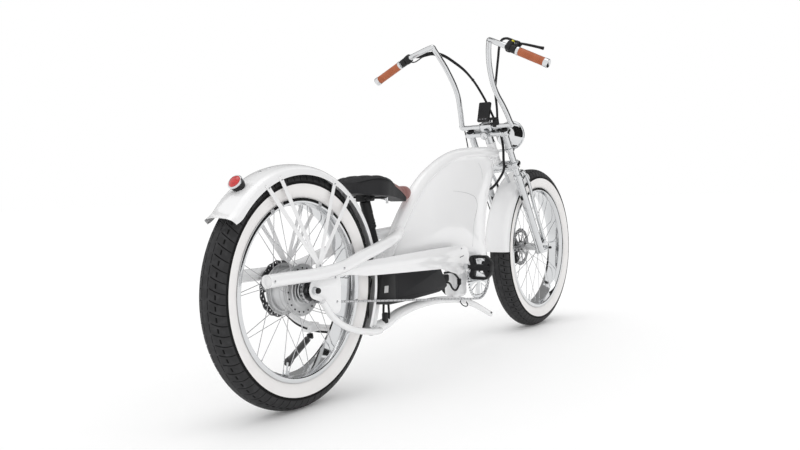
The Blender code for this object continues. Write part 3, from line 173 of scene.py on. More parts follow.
def plated(name, colour, roughness=0.07):
    """Chrome: a mirror with faint polishing streaks and a slightly uneven haze."""
    finish = Finish(name, colour, roughness, 1.0)
    streaks = finish.noise(60.0, 2.0, finish.stretched((1.0, 1.0, 9.0)))
    finish.feed("Roughness", roughness * 0.6 + streaks * roughness)
    finish.feed("Base Color", finish.mix(finish.noise(18.0), tuple(c * 0.90 for c in colour), colour))
    return finish


def machined(name, colour, roughness, centre=(0.0, 0.0, 0.0)):
    """Bare metal, turned on a lathe about a wheel's axle: fine rings in its roughness and relief."""
    finish = Finish(name, colour, roughness, 1.0)
    x = finish.axis("X") - centre[0]
    z = finish.axis("Z") - centre[2]
    radius = (x * x + z * z) ** 0.5
    rings = (radius * 5200.0).sine() * 0.5 + 0.5
    finish.feed("Roughness", roughness + rings * 0.10 + finish.noise(30.0) * 0.10)
    finish.feed("Base Color", finish.mix(finish.noise(25.0), tuple(c * 0.86 for c in colour), colour))
    finish.bump(rings, 0.12, 0.0002)
    return finish


def moulded(name, colour, roughness, grain=900.0, depth=0.00012):
    """Moulded plastic: a fine pebbled skin that is a little shinier on its high spots."""
    finish = Finish(name, colour, roughness, Specular_IOR_Level=0.25)
    pebbles = finish.cells(grain)
    finish.feed("Roughness", roughness - 0.10 + pebbles * 0.22)
    finish.feed("Base Color", finish.mix(finish.noise(14.0), tuple(c * 0.80 for c in colour), colour))
    finish.bump(pebbles, 0.35, depth)
    return finish


def tread_rubber():
    """Charcoal rubber scuffed a little on top, painted near black as shade in the tread's cuts, along its edge rows
    and on the tyre's inside.
    """
    finish = Finish("tread_rubber", (0.035, 0.035, 0.037), 0.62, Specular_IOR_Level=0.2)
    groove = finish.add("ShaderNodeAttribute", {"attribute_name": "groove"}, out="Fac")
    scuff = finish.ramp(finish.noise(55.0, 5.0), 0.40, 0.75)
    top = finish.mix(scuff, (0.030, 0.030, 0.031), (0.048, 0.048, 0.050))
    # painted shade: where the mesh's groove mark is set, the colour goes to near black
    finish.feed("Base Color", finish.mix(groove, top, (0.004, 0.004, 0.004)))
    finish.feed("Roughness", 0.55 + groove * 0.3 + scuff * 0.1)
    finish.bump(finish.noise(1400.0, 2.0), 0.25, 0.0002)
    return finish


def wall_rubber():
    """Off-white sidewall rubber with a faint grey bloom."""
    finish = Finish("wall_rubber", (0.90, 0.87, 0.86), 0.50)
    bloom = finish.noise(9.0, 4.0)
    finish.feed("Base Color", finish.mix(finish.ramp(bloom, 0.35, 0.8), (0.91, 0.895, 0.885), (0.86, 0.84, 0.83)))
    finish.feed("Roughness", 0.42 + bloom * 0.2)
    finish.bump(finish.noise(500.0, 2.0), 0.15, 0.0002)
    return finish


def hide(name, dark, light, scale=420.0):
    """Leather: irregular grain cells with creases between them, worn lighter where it is handled."""
    finish = Finish(name, light, 0.5)
    grain = finish.cells(scale)
    crease = finish.ramp(grain, 0.05, 0.55)
    worn = finish.ramp(finish.noise(22.0, 4.0), 0.30, 0.72)
    finish.feed("Base Color", finish.mix(worn * 0.7 + crease * 0.3, dark, light))
    finish.feed("Roughness", 0.60 - worn * 0.18)
    finish.bump(grain, 0.45, 0.0004)
    return finish


def case_plastic():
    """The battery's charcoal case, with two shallow lines pressed into its sides."""
    colour = (0.026, 0.026, 0.028)
    finish = Finish("case_plastic", colour, 0.45, Specular_IOR_Level=0.25)
    x, z = finish.axis("X"), finish.axis("Z")
    pebbles = finish.cells(1100.0)
    low = 1.0 - finish.ramp((z - 0.2835).size(), 0.0006, 0.0016)
    reach = finish.ramp(x, 0.515, 0.520) * (1.0 - finish.ramp(x, 0.800, 0.805))
    cap = 1.0 - finish.ramp((x - 0.512).size(), 0.0008, 0.0018)
    line = low * reach + cap
    finish.feed("Base Color", finish.mix(line, finish.mix(finish.noise(12.0), (0.020, 0.020, 0.022), colour),
                                         (0.010, 0.010, 0.010)))
    finish.feed("Roughness", 0.38 + pebbles * 0.2)
    finish.bump(pebbles * 0.1 - line, 0.6, 0.0006)
    return finish


def lamp_red():
    """Clear red plastic with ring prisms moulded in its back, each prism cell painted bright red at its middle and
    deep red at its edge as a painted glint.
    """
    finish = Finish("lamp_red", (0.62, 0.010, 0.012), 0.12, Coat_Weight=0.8, Coat_Roughness=0.04)
    prism_light = finish.cells(260.0)
    # painted light: each cell shades from bright to deep red, standing for the glints of the prisms
    finish.feed("Base Color", finish.mix(prism_light, (0.75, 0.020, 0.020), (0.40, 0.004, 0.006)))
    finish.bump(prism_light, 0.3, 0.0006)
    return finish


def lamp_glass():
    """Clear glass with upright flutes."""
    finish = Finish("lamp_glass", (0.96, 0.97, 0.98), 0.03, Transmission_Weight=1.0, IOR=1.45)
    flutes = (finish.axis("Y") * 700.0).sine()
    finish.bump(flutes, 0.3, 0.0004)
    return finish


WHITE = (0.93, 0.93, 0.935)
PAINT = painted("gloss_paint", WHITE)
CHROME = plated("chrome", (0.72, 0.73, 0.74))
POLISHED = plated("polished_steel", (0.70, 0.71, 0.72), 0.16)
SPOKE_STEEL = plated("spoke_steel", (0.62, 0.62, 0.63), 0.22)
HUB_METAL = machined("hub_metal", (0.62, 0.625, 0.63), 0.30, (0.0, 0.0, 0.373))
FRONT_HUB_METAL = machined("front_hub_metal", (0.68, 0.685, 0.69), 0.22, (1.733, 0.0, 0.373))
ROTOR_STEEL = plated("rotor_steel", (0.34, 0.34, 0.345), 0.24)
DARK_STEEL = plated("dark_steel", (0.16, 0.16, 0.165), 0.28)
CHAIN_STEEL = plated("chain_steel", (0.52, 0.52, 0.53), 0.24)
BLACK_METAL = moulded("black_metal", (0.012, 0.012, 0.013), 0.35, 1400.0, 0.00004)
BLACK = moulded("black_plastic", (0.018, 0.018, 0.019), 0.45)
SADDLE_BLACK = moulded("saddle_shell", (0.022, 0.022, 0.024), 0.55, 700.0, 0.0002)
CASE = case_plastic()
CABLE = moulded("cable_jacket", (0.010, 0.010, 0.011), 0.38, 1600.0, 0.00005)
TREAD = tread_rubber()
WALL = wall_rubber()
GRIP_HIDE = hide("grip_leather", (0.37, 0.088, 0.030), (0.45, 0.120, 0.042), 700.0)
SEAT_HIDE = hide("seat_leather", (0.20, 0.085, 0.080), (0.34, 0.165, 0.150), 520.0)
THREAD = moulded("thread", (0.36, 0.22, 0.16), 0.8)
RED = lamp_red()
GLASS = lamp_glass()
YELLOW = moulded("yellow_plastic", (0.80, 0.72, 0.02), 0.4)
LABEL = moulded("plain_label", (0.62, 0.62, 0.62), 0.5)
GREY = moulded("grey_plastic", (0.20, 0.20, 0.21), 0.5)
# A grey line finish: the panel's seam, and a painted shade stroke for a dent
SEAM_AND_DENT_SHADE = moulded("panel_seam_and_dent_shade", (0.50, 0.50, 0.51), 0.5)


# Shapes


def unit(rows):
    """Each row at length 1."""
    return rows / np.linalg.norm(rows, axis=-1, keepdims=True)


def curve(points, steps=8, round_trip=False):
    """A smooth line through the points: each stretch is a cubic whose handles lean with both neighbours."""
    knots = np.array(points, float)
    before = np.roll(knots, 1, axis=0) if round_trip else np.vstack([2 * knots[0] - knots[1], knots[:-1]])
    after = np.roll(knots, -1, axis=0) if round_trip else np.vstack([knots[1:], 2 * knots[-1] - knots[-2]])
    lean = unit(unit(knots - before) + unit(after - knots))
    here = np.arange(len(knots) if round_trip else len(knots) - 1)
    there = (here + 1) % len(knots)
    start, end = knots[here], knots[there]
    reach = np.linalg.norm(end - start, axis=1, keepdims=True) / 2.5614
    first, second = start + lean[here] * reach, end - lean[there] * reach
    t = np.linspace(0, 1, steps, endpoint=False)[None, :, None]
    rows = ((1 - t) ** 3 * start[:, None] + 3 * (1 - t) ** 2 * t * first[:, None]
            + 3 * (1 - t) * t ** 2 * second[:, None] + t ** 3 * end[:, None])
    line = rows.reshape(-1, knots.shape[1])
    return line if round_trip else np.vstack([line, knots[-1]])


def rounded(points, radius, steps=4, closed=False):
    """A polyline whose corners are cut back by the radius and bridged by parabolas."""
    knots = np.array(points, float)
    before, after = np.roll(knots, 1, axis=0), np.roll(knots, -1, axis=0)
    to_before, to_after = before - knots, after - knots
    back = np.linalg.norm(to_before, axis=1, keepdims=True)
    ahead = np.linalg.norm(to_after, axis=1, keepdims=True)
    share = np.minimum(radius, 0.45 * np.minimum(back, ahead))
    start, end = knots + to_before / back * share, knots + to_after / ahead * share
    t = np.linspace(0, 1, steps + 1)[None, :, None]
    bends = (1 - t) ** 2 * start[:, None] + 2 * (1 - t) * t * knots[:, None] + t ** 2 * end[:, None]
    if closed:
        return bends.reshape(-1, knots.shape[1])
    return np.vstack([knots[:1], bends[1:-1].reshape(-1, knots.shape[1]), knots[-1:]])


def stand(centre, direction, up=(0.0, 0.0, 1.0)):
    """A 4 by 4 matrix whose local Z runs along the direction."""
    z = unit(np.array(direction, float))
    x = np.cross(np.array(up, float), z)
    if np.linalg.norm(x) < 1e-3:
        x = np.cross((0.0, 1.0, 0.0), z)
    x = unit(x)
    matrix = np.eye(4)
    matrix[:3, 0], matrix[:3, 1], matrix[:3, 2], matrix[:3, 3] = x, np.cross(z, x), z, centre
    return matrix


def moved(points, matrix):
    return points @ matrix[:3, :3].T + matrix[:3, 3]


class Shape:
    """Gathers surfaces into one mesh. Each surface takes the finish that was last chosen."""

    def __init__(self, finish):
        self.points, self.faces, self.marks, self.extra = [], [], [], []
        self.finishes = [finish]
        self.count = 0
        self.mark = 0

    def use(self, finish):
        if finish not in self.finishes:
            self.finishes.append(finish)
        self.mark = self.finishes.index(finish)
        return self

    def add(self, points, faces, extra=None):
        points = np.asarray(points, float).reshape(-1, 3)
        faces = np.asarray(faces, int)
        self.points.append(points)
        self.faces.append(faces + self.count)
        self.marks.append(np.full(len(faces), self.mark))
        self.extra.append(np.zeros(len(points)) if extra is None else np.asarray(extra, float).ravel())
        self.count += len(points)
        return self

    def grid(self, rows, round_u=False, round_v=True, extra=None):
        """A sheet over rows of points, closed round in either direction."""
        m, n = rows.shape[:2]
        i, j = np.meshgrid(np.arange(m if round_u else m - 1), np.arange(n if round_v else n - 1), indexing="ij")
        k, l = (i + 1) % m, (j + 1) % n
        faces = np.stack([i * n + j, k * n + j, k * n + l, i * n + l], -1).reshape(-1, 4)
        return self.add(rows, faces, extra)

    def tube(self, path, radius, sides=20, edge=0.3):
        """A round bar about a line, its ends slightly domed. The radius may change along it."""
        path = np.array(path, float)
        radius = np.broadcast_to(np.asarray(radius, float), len(path))
        run = unit(np.gradient(path, axis=0))
        guide = np.eye(3)[np.abs(run).max(axis=0).argmin()]
        across = unit(np.cross(run, guide))
        upward = np.cross(run, across)
        lip = np.sqrt(1 - (1 - np.array([0.0, 0.45, 0.8, 1.0])) ** 2)
        start = path[0] + run[0] * (edge * radius[0] * (1 - lip))[:, None]
        end = path[-1] - run[-1] * (edge * radius[-1] * (1 - lip))[::-1, None]
        shrink = 1 - edge + edge * lip
        centres = np.vstack([path[:1], start, path[1:-1], end, path[-1:]])
        sizes = np.concatenate([[0.0], radius[0] * shrink, radius[1:-1], radius[-1] * shrink[::-1], [0.0]])
        pick = np.concatenate([[0] * 5, np.arange(1, len(path) - 1), [len(path) - 1] * 5])
        turn = np.linspace(0, 2 * pi, sides, endpoint=False)
        ring = across[pick, None] * np.cos(turn)[None, :, None] + upward[pick, None] * np.sin(turn)[None, :, None]
        return self.grid(centres[:, None] + ring * sizes[:, None, None])

    def bar(self, start, end, radius, sides=24, edge=0.2):
        """A straight round bar."""
        ends = np.array([start, end], float)
        return self.tube(ends[0] + (ends[1] - ends[0]) * np.linspace(0, 1, 4)[:, None], radius, sides, edge)

    def turned(self, profile, centre, direction=(0, 1, 0), steps=64, loop=False):
        """A profile of (radius, height) revolved about an axis."""
        profile = np.array(profile, float)
        turn = np.linspace(0, 2 * pi, steps, endpoint=False)
        rows = np.stack([profile[:, :1] * np.cos(turn), profile[:, :1] * np.sin(turn),
                         np.repeat(profile[:, 1:], steps, axis=1)], -1)
        return self.grid(moved(rows, stand(centre, direction)), round_u=loop)

    def block(self, size, centre, turn=None, edge=0.003, steps=3):
        """A box with rounded edges: each point of a finer box is pulled onto balls along its edges."""
        half = np.array(size, float) / 2
        edge = min(edge, half.min() * 0.98)
        ramp = np.linspace(0, 1, steps + 1)
        lines = [np.concatenate([-h + edge * ramp, h - edge + edge * ramp]) for h in half]
        matrix = np.eye(3) if turn is None else np.array(turn, float)[:3, :3]
        for axis in range(3):
            a, b = (axis + 1) % 3, (axis + 2) % 3
            u, v = np.meshgrid(lines[a], lines[b], indexing="ij")
            for way in (-1, 1):
                rows = np.zeros((*u.shape, 3))
                rows[..., axis], rows[..., a], rows[..., b] = way * half[axis], u, v
                core = np.clip(rows, -(half - edge), half - edge)
                rows = core + unit(rows - core) * edge
                self.grid(rows @ matrix.T + np.array(centre, float), round_v=False)
        return self

    def plate(self, outline, low, high, holes=(), edge=0.0006, matrix=None):
        """A flat plate with rounded edges, in the X-Z plane between two Y values."""
        line = bpy.data.curves.new("plate", "CURVE")
        line.dimensions = "2D"
        line.fill_mode = "BOTH"
        line.extrude = max((high - low) / 2 - edge, 1e-5)
        line.bevel_depth = edge
        line.bevel_resolution = 1
        line.offset = -edge
        for ring in (outline, *holes):
            knots = line.splines.new("POLY")
            knots.points.add(len(ring) - 1)
            flat = np.zeros((len(ring), 4))
            flat[:, :2] = np.asarray(ring, float)[:, :2]
            flat[:, 3] = 1.0
            knots.points.foreach_set("co", flat.ravel())
            knots.use_cyclic_u = True
        helper = bpy.data.objects.new("plate", line)
        mesh = helper.to_mesh()
        points = np.zeros(len(mesh.vertices) * 3)
        mesh.vertices.foreach_get("co", points)
        points = points.reshape(-1, 3)
        mesh.calc_loop_triangles()
        faces = np.zeros(len(mesh.loop_triangles) * 3, int)
        mesh.loop_triangles.foreach_get("vertices", faces)
        helper.to_mesh_clear()
        bpy.data.objects.remove(helper)
        bpy.data.curves.remove(line)
        stood = np.stack([points[:, 0], (low + high) / 2 - points[:, 2], points[:, 1]], -1)
        if matrix is not None:
            stood = moved(stood, matrix)
        faces = faces.reshape(-1, 3)
        return self.add(stood, np.column_stack([faces, faces[:, 2]]))

    def finish(self, name, body, nodes=(), slot=None, smooth=35, turn_out=True):
        """The gathered surfaces as one object that rides on a body and stands for CAD nodes."""
        mesh = bpy.data.meshes.new(name)
        faces = np.vstack(self.faces)
        lists = [face[:3] if face[2] == face[3] else face for face in faces.tolist()]
        mesh.from_pydata(np.vstack(self.points), [], lists)
        marks = np.concatenate(self.marks).astype(np.int32)
        mesh.polygons.foreach_set("material_index", marks)
        extra = np.concatenate(self.extra)
        # The extra numbers are stored as the painted-shade mark that darkens the tread's colour
        if extra.any():
            mesh.attributes.new("groove", "FLOAT", "POINT").data.foreach_set("value", extra.astype(np.float32))
        for item in self.finishes:
            mesh.materials.append(item.material)
        shape = bmesh.new()
        shape.from_mesh(mesh)
        bmesh.ops.remove_doubles(shape, verts=shape.verts, dist=2e-6)
        bmesh.ops.dissolve_degenerate(shape, edges=shape.edges, dist=1e-7)
        if turn_out:
            bmesh.ops.recalc_face_normals(shape, faces=shape.faces)
        shape.to_mesh(mesh)
        shape.free()
        mesh.shade_smooth()
        mesh.set_sharp_from_angle(angle=radians(smooth))
        piece = bpy.data.objects.new(name, mesh)
        bpy.context.scene.collection.objects.link(piece)
        if body:
            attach(piece, body)
        if nodes:
            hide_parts(*nodes)
        return piece


def polar(centre, radius, turn):
    """Points of the X-Z plane at a radius and an angle about a centre."""
    return np.stack([centre[0] + radius * np.cos(turn), centre[-1] + radius * np.sin(turn)], -1)


def circle(centre, radius, sides=48):
    return polar(centre, radius, np.linspace(0, 2 * pi, sides, endpoint=False))


def window(centre, corners, middle, radius):
    """A rounded hole in a wheel's plate: its corners are (radius, degrees from the middle)."""
    reach, lean = np.array(corners).T
    return rounded(polar((0, 0), reach, middle + np.radians(lean)), radius, closed=True) + (centre[0], centre[2])


def capped(rows):
    """Rows of a closed sweep with each end drawn together to its middle."""
    tips = [rows[k:k + 1].mean(axis=1, keepdims=True).repeat(rows.shape[1], 1) for k in (0, len(rows) - 1)]
    return np.concatenate([tips[0], rows, tips[1]])


def strips(shape, rings):
    """Many separate closed forms at once, from their rings: (ring, form, point, 3)."""
    m, count, n = rings.shape[:3]
    i, j = np.meshgrid(np.arange(m - 1), np.arange(n), indexing="ij")
    k, l = (i + 1) * n, (j + 1) % n
    face = np.stack([i * n + j, k + j, k + l, i * n + l], -1).reshape(-1, 4)
    shape.add(rings.transpose(1, 0, 2, 3), (np.arange(count)[:, None, None] * m * n + face[None]).reshape(-1, 4))


def bolt(shape, centre, direction, radius=0.004, height=0.003, finish=None):
    """A round-headed screw with a hexagon socket."""
    centre, direction = np.array(centre, float), unit(np.array(direction, float))
    if finish:
        shape.use(finish)
    crown = [(0.0, height * 0.45), (radius * 0.42, height * 0.45), (radius * 0.46, height),
             (radius * 0.8, height * 0.9), (radius, height * 0.45), (radius, -0.001), (0.0, -0.001)]
    shape.turned(crown, centre, direction, 14)


def nut(shape, centre, direction, radius, height, finish=None):
    """A hexagon nut with its corners turned down, on a washer."""
    centre, direction = np.array(centre, float), unit(np.array(direction, float))
    if finish:
        shape.use(finish)
    shape.turned([(0.0, 0.0), (radius * 1.25, 0.0), (radius * 1.25, height * 0.2), (0.0, height * 0.2)],
                 centre, direction, 28)
    shape.turned([(0.0, height * 0.2), (radius, height * 0.2), (radius, height * 0.9), (radius * 0.86, height),
                  (0.0, height)], centre, direction, 6)


# Places, the same as the CAD's


TYRE_R = 0.373
REAR = np.array((0.0, 0.0, TYRE_R))
FRONT = np.array((1.733, 0.0, TYRE_R))
RAKE = radians(32.5)
HEAD_TOP = np.array((1.331, 0.0, 0.865))
DOWN_FORK = np.array((sin(RAKE), 0.0, -cos(RAKE)))
ACROSS_FORK = np.array((cos(RAKE), 0.0, sin(RAKE)))
FORK_TURN = np.column_stack([ACROSS_FORK, (0.0, 1.0, 0.0), -DOWN_FORK])
STANCHION_Y = 0.082
POST_LEAN = radians(20.5)
POST_LOW = np.array((0.475, 0.0, 0.400))
POST_UP = np.array((-sin(POST_LEAN), 0.0, cos(POST_LEAN)))
BB = np.array((1.08, 0.0, 0.300))
CHAIN_Y = -0.063
CRANK_ANGLE = radians(160)
KICK_PIVOT = np.array((0.190, 0.100, 0.187))
KICK_FOOT = np.array((0.276, 0.272, 0.072))
KICK_RUN = unit(KICK_FOOT - KICK_PIVOT)
KICK_AXIS = unit(np.cross(KICK_RUN, unit(np.array((-0.93, 0.30, 0.20)))))


def fork(s, n, y=0.0):
    """A point in the fork's plane: s down the steering axis, n forward of it."""
    return HEAD_TOP + DOWN_FORK * s + ACROSS_FORK * n + np.array((0.0, y, 0.0))


def about_axle(centre, radius, angle, y):
    angle = np.asarray(angle, float)
    return np.stack([centre[0] + radius * np.cos(angle), np.broadcast_to(y, np.shape(radius * np.cos(angle))),
                     centre[2] + radius * np.sin(angle)], -1)


def set_camera():
    camera = bpy.data.objects.new("camera", bpy.data.cameras.new("camera"))
    yaw, pitch, roll = 0.5923, -0.0480, -0.0267
    forward = Vector((cos(pitch) * cos(yaw), cos(pitch) * sin(yaw), sin(pitch)))
    right = Vector((sin(yaw), -cos(yaw), 0.0))
    up = right.cross(forward)
    right, up = cos(roll) * right + sin(roll) * up, cos(roll) * up - sin(roll) * right
    turn = Matrix((right, up, -forward)).transposed().to_4x4()
    camera.matrix_world = Matrix.Translation((-2.0064, -1.7559, 0.6919)) @ turn
    camera.data.lens = 38.355
    camera.data.sensor_width = 36.0
    bpy.context.scene.collection.objects.link(camera)
    bpy.context.scene.camera = camera


# Wheels


SIPES = 72            # cuts round the tread
SIPE_LEAN = 0.60      # how far a cut leans for each metre off the middle
TREAD_CUT = 0.0024    # how deep the cuts go
WHITE_TO = 0.3285     # the whitewall's outer radius
SPOKES = 14           # on each side of a wheel
SPOKE_CROSS = radians(24)


def tread_depth(phase, y):
    """How deep the tread is cut: two dashed lines beside the rib, a long cut and a short dash at each pitch."""
    side, far = np.abs(y), np.abs(phase - 0.5)
    near = 0.5 - far
    fade = (1, 0)
    band = (0, 1, 1, 0)
    line = np.interp(np.abs(side - 0.0105), (0.0005, 0.0012), fade) * np.interp(near, (0.35, 0.42), fade)
    sipe = np.interp(side, (0.0156, 0.0164, 0.0458, 0.0470), band) * np.interp(far, (0.038, 0.055), fade)
    dash = np.interp(side, (0.0288, 0.0296, 0.0324, 0.0332), band) * np.interp(near, (0.20, 0.24), fade)
    return np.maximum(line, np.maximum(sipe, dash))


def make_tyre(name, centre, body):
    """The section is carried round the axle; the columns of the tread lean with its cuts, which keeps them sharp."""
    half = np.array([(0.2725, 0.0360), (0.2868, 0.0362), (0.2885, 0.0385), (0.2960, 0.0440), (0.3060, 0.0478),
                     (0.3180, 0.0490), (WHITE_TO, 0.0484), (0.3420, 0.0452), (0.3520, 0.0408), (0.3555, 0.0385)])
    wall = curve(half, 4)
    white, shoulder = wall[:25], wall[24:]
    side = np.array([0.0365, 0.0345, 0.0332, 0.0324, 0.0310, 0.0296, 0.0288, 0.0270, 0.0240, 0.0210, 0.0180, 0.0164,
                     0.0156, 0.0140, 0.0124, 0.0117, 0.0110, 0.0100, 0.0093, 0.0086, 0.0060, 0.0030, 0.0])
    crown = np.stack([0.3728 - 0.0172 * (side / 0.0385) ** 2.6, side], -1)
    inner = np.array([(0.3500, 0.0), (0.3460, 0.0280), (0.3160, 0.0440), (0.2890, 0.0330), (0.2725, 0.0320)])
    shape = Shape(WALL)
    coarse = np.linspace(0, 2 * pi, 288, endpoint=False)

    def swept(section, turn):
        rows = about_axle(centre, section[:, :1], turn, 0.0)
        rows[..., 1] = section[:, 1:]
        return rows

    for way in (1, -1):
        shape.grid(swept(white * (1, way), coarse[None, :]))
    back = np.vstack([half[:1], inner[::-1], inner[1:] * (1, -1), half[:1] * (1, -1)])
    # The tyre's inside takes the full painted-shade mark, so it renders near black
    shape.use(TREAD).grid(swept(back, coarse[None, :]), extra=np.ones((len(back), len(coarse))))
    near = np.vstack([shoulder, crown])
    line = np.vstack([near, near[-2::-1] * (1, -1)])
    steps = np.array([0.0, 0.10, 0.20, 0.24, 0.35, 0.42, 0.445, 0.462, 0.50, 0.538, 0.555, 0.58, 0.65, 0.76, 0.80,
                      0.90])
    phase = np.tile(steps, SIPES)
    turn = (np.repeat(np.arange(SIPES), len(steps)) + phase) * 2 * pi / SIPES
    lean = np.maximum(np.abs(line[:, 1:]) - 0.0125, 0) * SIPE_LEAN / TYRE_R
    depth = tread_depth(phase[None, :], line[:, 1:])
    rows = swept(line, turn[None, :] + lean)
    rows -= unit((rows - centre) * (1, 0, 1)) * TREAD_CUT * depth[..., None]
    edge = np.arange(len(line)) < 3
    # Painted shade: the cuts, and the three rows at each edge of the tread, are marked to render dark
    dark = np.maximum(depth, (edge | edge[::-1])[:, None] * 0.9)
    shape.grid(rows, extra=dark)
    shape.finish(name, body, [name.replace("whitewall", "tyre")], "tyre_rubber", smooth=50)


def make_rim(name, centre, body, node):
    """A chrome rim: a rolled edge at each side, a flange down to the well, and a valve."""
    half = rounded([(0.2660, 0.020), (0.2718, 0.0364), (0.2850, 0.0366), (0.2862, 0.0385), (0.2850, 0.0400),
                    (0.2760, 0.0400), (0.2700, 0.0392), (0.2630, 0.0240), (0.2624, 0.0100)], 0.0016)
    loop = np.vstack([half, (half * (1, -1))[::-1]])
    shape = Shape(CHROME)
    shape.turned(loop, centre, steps=144, loop=True)
    shape.finish(name, body, [node], "polished_alloy")
    valve = Shape(POLISHED)
    angle = radians(-100)
    foot, tip = about_axle(centre, 0.2625, angle, 0.0), about_axle(centre, 0.226, angle, 0.0)
    valve.bar(foot, tip, 0.0030, 14).bar(foot, foot + (tip - foot) * 0.3, 0.0042, 14)
    valve.finish(name + "_valve", body, slot="steel")


def make_spokes(name, centre, flange_r, flange_y, body, node, drum):
    """The crossing spokes of one side, with a nipple at the rim and an elbow head at the flange."""
    shape = Shape(SPOKE_STEEL)
    side = 1 if flange_y > 0 else -1
    for k in range(SPOKES):
        ahead = 1 if k % 2 == 0 else -1
        angle = 2 * pi * k / SPOKES
        start = about_axle(centre, flange_r, angle, flange_y + side * 0.0011 * ahead)
        end = about_axle(centre, 0.2628, angle + ahead * SPOKE_CROSS, side * 0.010)
        run = unit(end - start)
        shape.use(SPOKE_STEEL).bar(start, end, 0.00115, 8, 0.1)
        shape.use(POLISHED).bar(end - run * 0.013, end, 0.0019, 8, 0.3)
        shape.use(SPOKE_STEEL).bar(start - (0, side * 0.0042, 0), start + (0, side * 0.0042, 0), 0.0019, 8, 0.4)
    ring = [(flange_r - 0.004, -0.0015), (flange_r + 0.004, -0.0015), (flange_r + 0.004, 0.0015),
            (flange_r - 0.004, 0.0015)]
    shape.use(drum).turned(rounded(ring, 0.0008, closed=True), centre + (0, flange_y, 0), steps=72, loop=True)
    shape.finish(name, body, [node], "steel")


def make_rotor(name, centre, y, body, finish):
    """A laced brake disc: a wavy rim with slots, carried by five bent arms."""
    turn = np.linspace(0, 2 * pi, 240, endpoint=False)
    outline = polar(centre, 0.0893 + 0.0013 * np.cos(15 * turn), turn)
    corners = [(0.032, -10), (0.052, -15), (0.0712, -14.5), (0.0712, 13.5), (0.056, 14), (0.032, 6)]
    arms, slots, slot_lean = 10, 40, 0.7
    holes = [circle(centre, 0.0215, 40)]
    holes += [window(centre, corners, 2 * pi * (k + 0.5) / arms, 0.004) for k in range(arms)]
    oval = circle((0, 0), 1.0, 10) * (0.0036, 0.0022)
    for k in range(slots):
        middle = 2 * pi * k / slots
        c, s = cos(middle + slot_lean), sin(middle + slot_lean)
        holes.append(oval @ np.array(((c, s), (-s, c))) + polar(centre, (0.0775, 0.0842)[k % 2], middle))
    shape = Shape(finish)
    shape.plate(outline, y - 0.001, y + 0.001, holes, 0.0002)
    for k in range(6):
        place = about_axle(centre, 0.0262, 2 * pi * k / 6 + 0.3, y + 0.0009)
        bolt(shape, place, (0, 1, 0), 0.0038, 0.0022, BLACK_METAL)
    shape.finish(name, body, [name], "steel")


def motor_hub():
    """The drum that holds the motor: ribbed flanks, stepped covers and a ring of small black screws."""
    half = [(0.0077, -0.0460), (0.0300, -0.0460), (0.0315, -0.0425), (0.0400, -0.0420), (0.0415, -0.0405),
            (0.0520, -0.0400), (0.0535, -0.0385), (0.0610, -0.0380), (0.0735, -0.0378), (0.0750, -0.0365),
            (0.0750, -0.0318), (0.0690, -0.0300), (0.0672, -0.0280), (0.0672, 0.0340), (0.0690, 0.0360),
            (0.0750, 0.0375), (0.0750, 0.0425), (0.0735, 0.0432), (0.0560, 0.0470), (0.0520, 0.0490),
            (0.0360, 0.0520), (0.0320, 0.0560), (0.0300, 0.0585), (0.0077, 0.0585)]
    shape = Shape(HUB_METAL)
    shape.turned(rounded(half, 0.0012, closed=True), REAR, steps=120, loop=True)
    for y, way, r in ((-0.0378, -1, 0.0685), (0.0440, 1, 0.0670)):
        for k in range(20):
            bolt(shape, about_axle(REAR, r, 2 * pi * k / 20, y), (0, way, 0), 0.0028, 0.0020, BLACK_METAL)
    shape.use(HUB_METAL)
    for k in range(3):
        y = -0.018 + 0.018 * k
        ring = [(0.0665, y - 0.0018), (0.0688, y), (0.0665, y + 0.0018)]
        shape.turned(ring, REAR, steps=96)
    shape.finish("hub_drum", "rear_wheel", ["motor_hub"], "alloy")


def front_hub():
    """A narrow waisted hub with a flange for each side's spokes and a seat for the rotor."""
    half = [(0.0050, -0.069), (0.0110, -0.069), (0.0140, -0.039), (0.0275, -0.0345), (0.0275, -0.0285),
            (0.0160, -0.024), (0.0160, 0.028), (0.0275, 0.0325), (0.0275, 0.0585), (0.0205, 0.0588),
            (0.0205, 0.0625), (0.0110, 0.069), (0.0050, 0.069)]
    shape = Shape(FRONT_HUB_METAL)
    shape.turned(rounded(half, 0.0016, closed=True), FRONT, steps=64, loop=True)
    shape.finish("front_hub_shell", "front_wheel", ["front_hub"], "polished_alloy")


def axle(name, centre, radius, half, face, body):
    """A threaded axle with a nut on each drop-out and a black cap on its right end."""
    shape = Shape(POLISHED)
    shape.bar(centre - (0, half, 0), centre + (0, half, 0), radius * 0.98, 24, 0.25)
    for side in (RIGHT, LEFT):
        nut(shape, centre + (0, side * (face + 0.0003), 0), (0, side, 0), radius * 1.55, 0.0118)
    shape.use(BLACK)
    end = centre - (0, half + 0.002, 0)
    cap = [(0.0, -0.014), (radius, -0.014), (radius * 1.3, -0.011), (radius * 1.3, 0.0), (0.0, 0.003)]
    shape.turned(cap, end + (0, 0.010, 0), steps=28)
    shape.finish(name + "_nuts", body, [name], "steel")


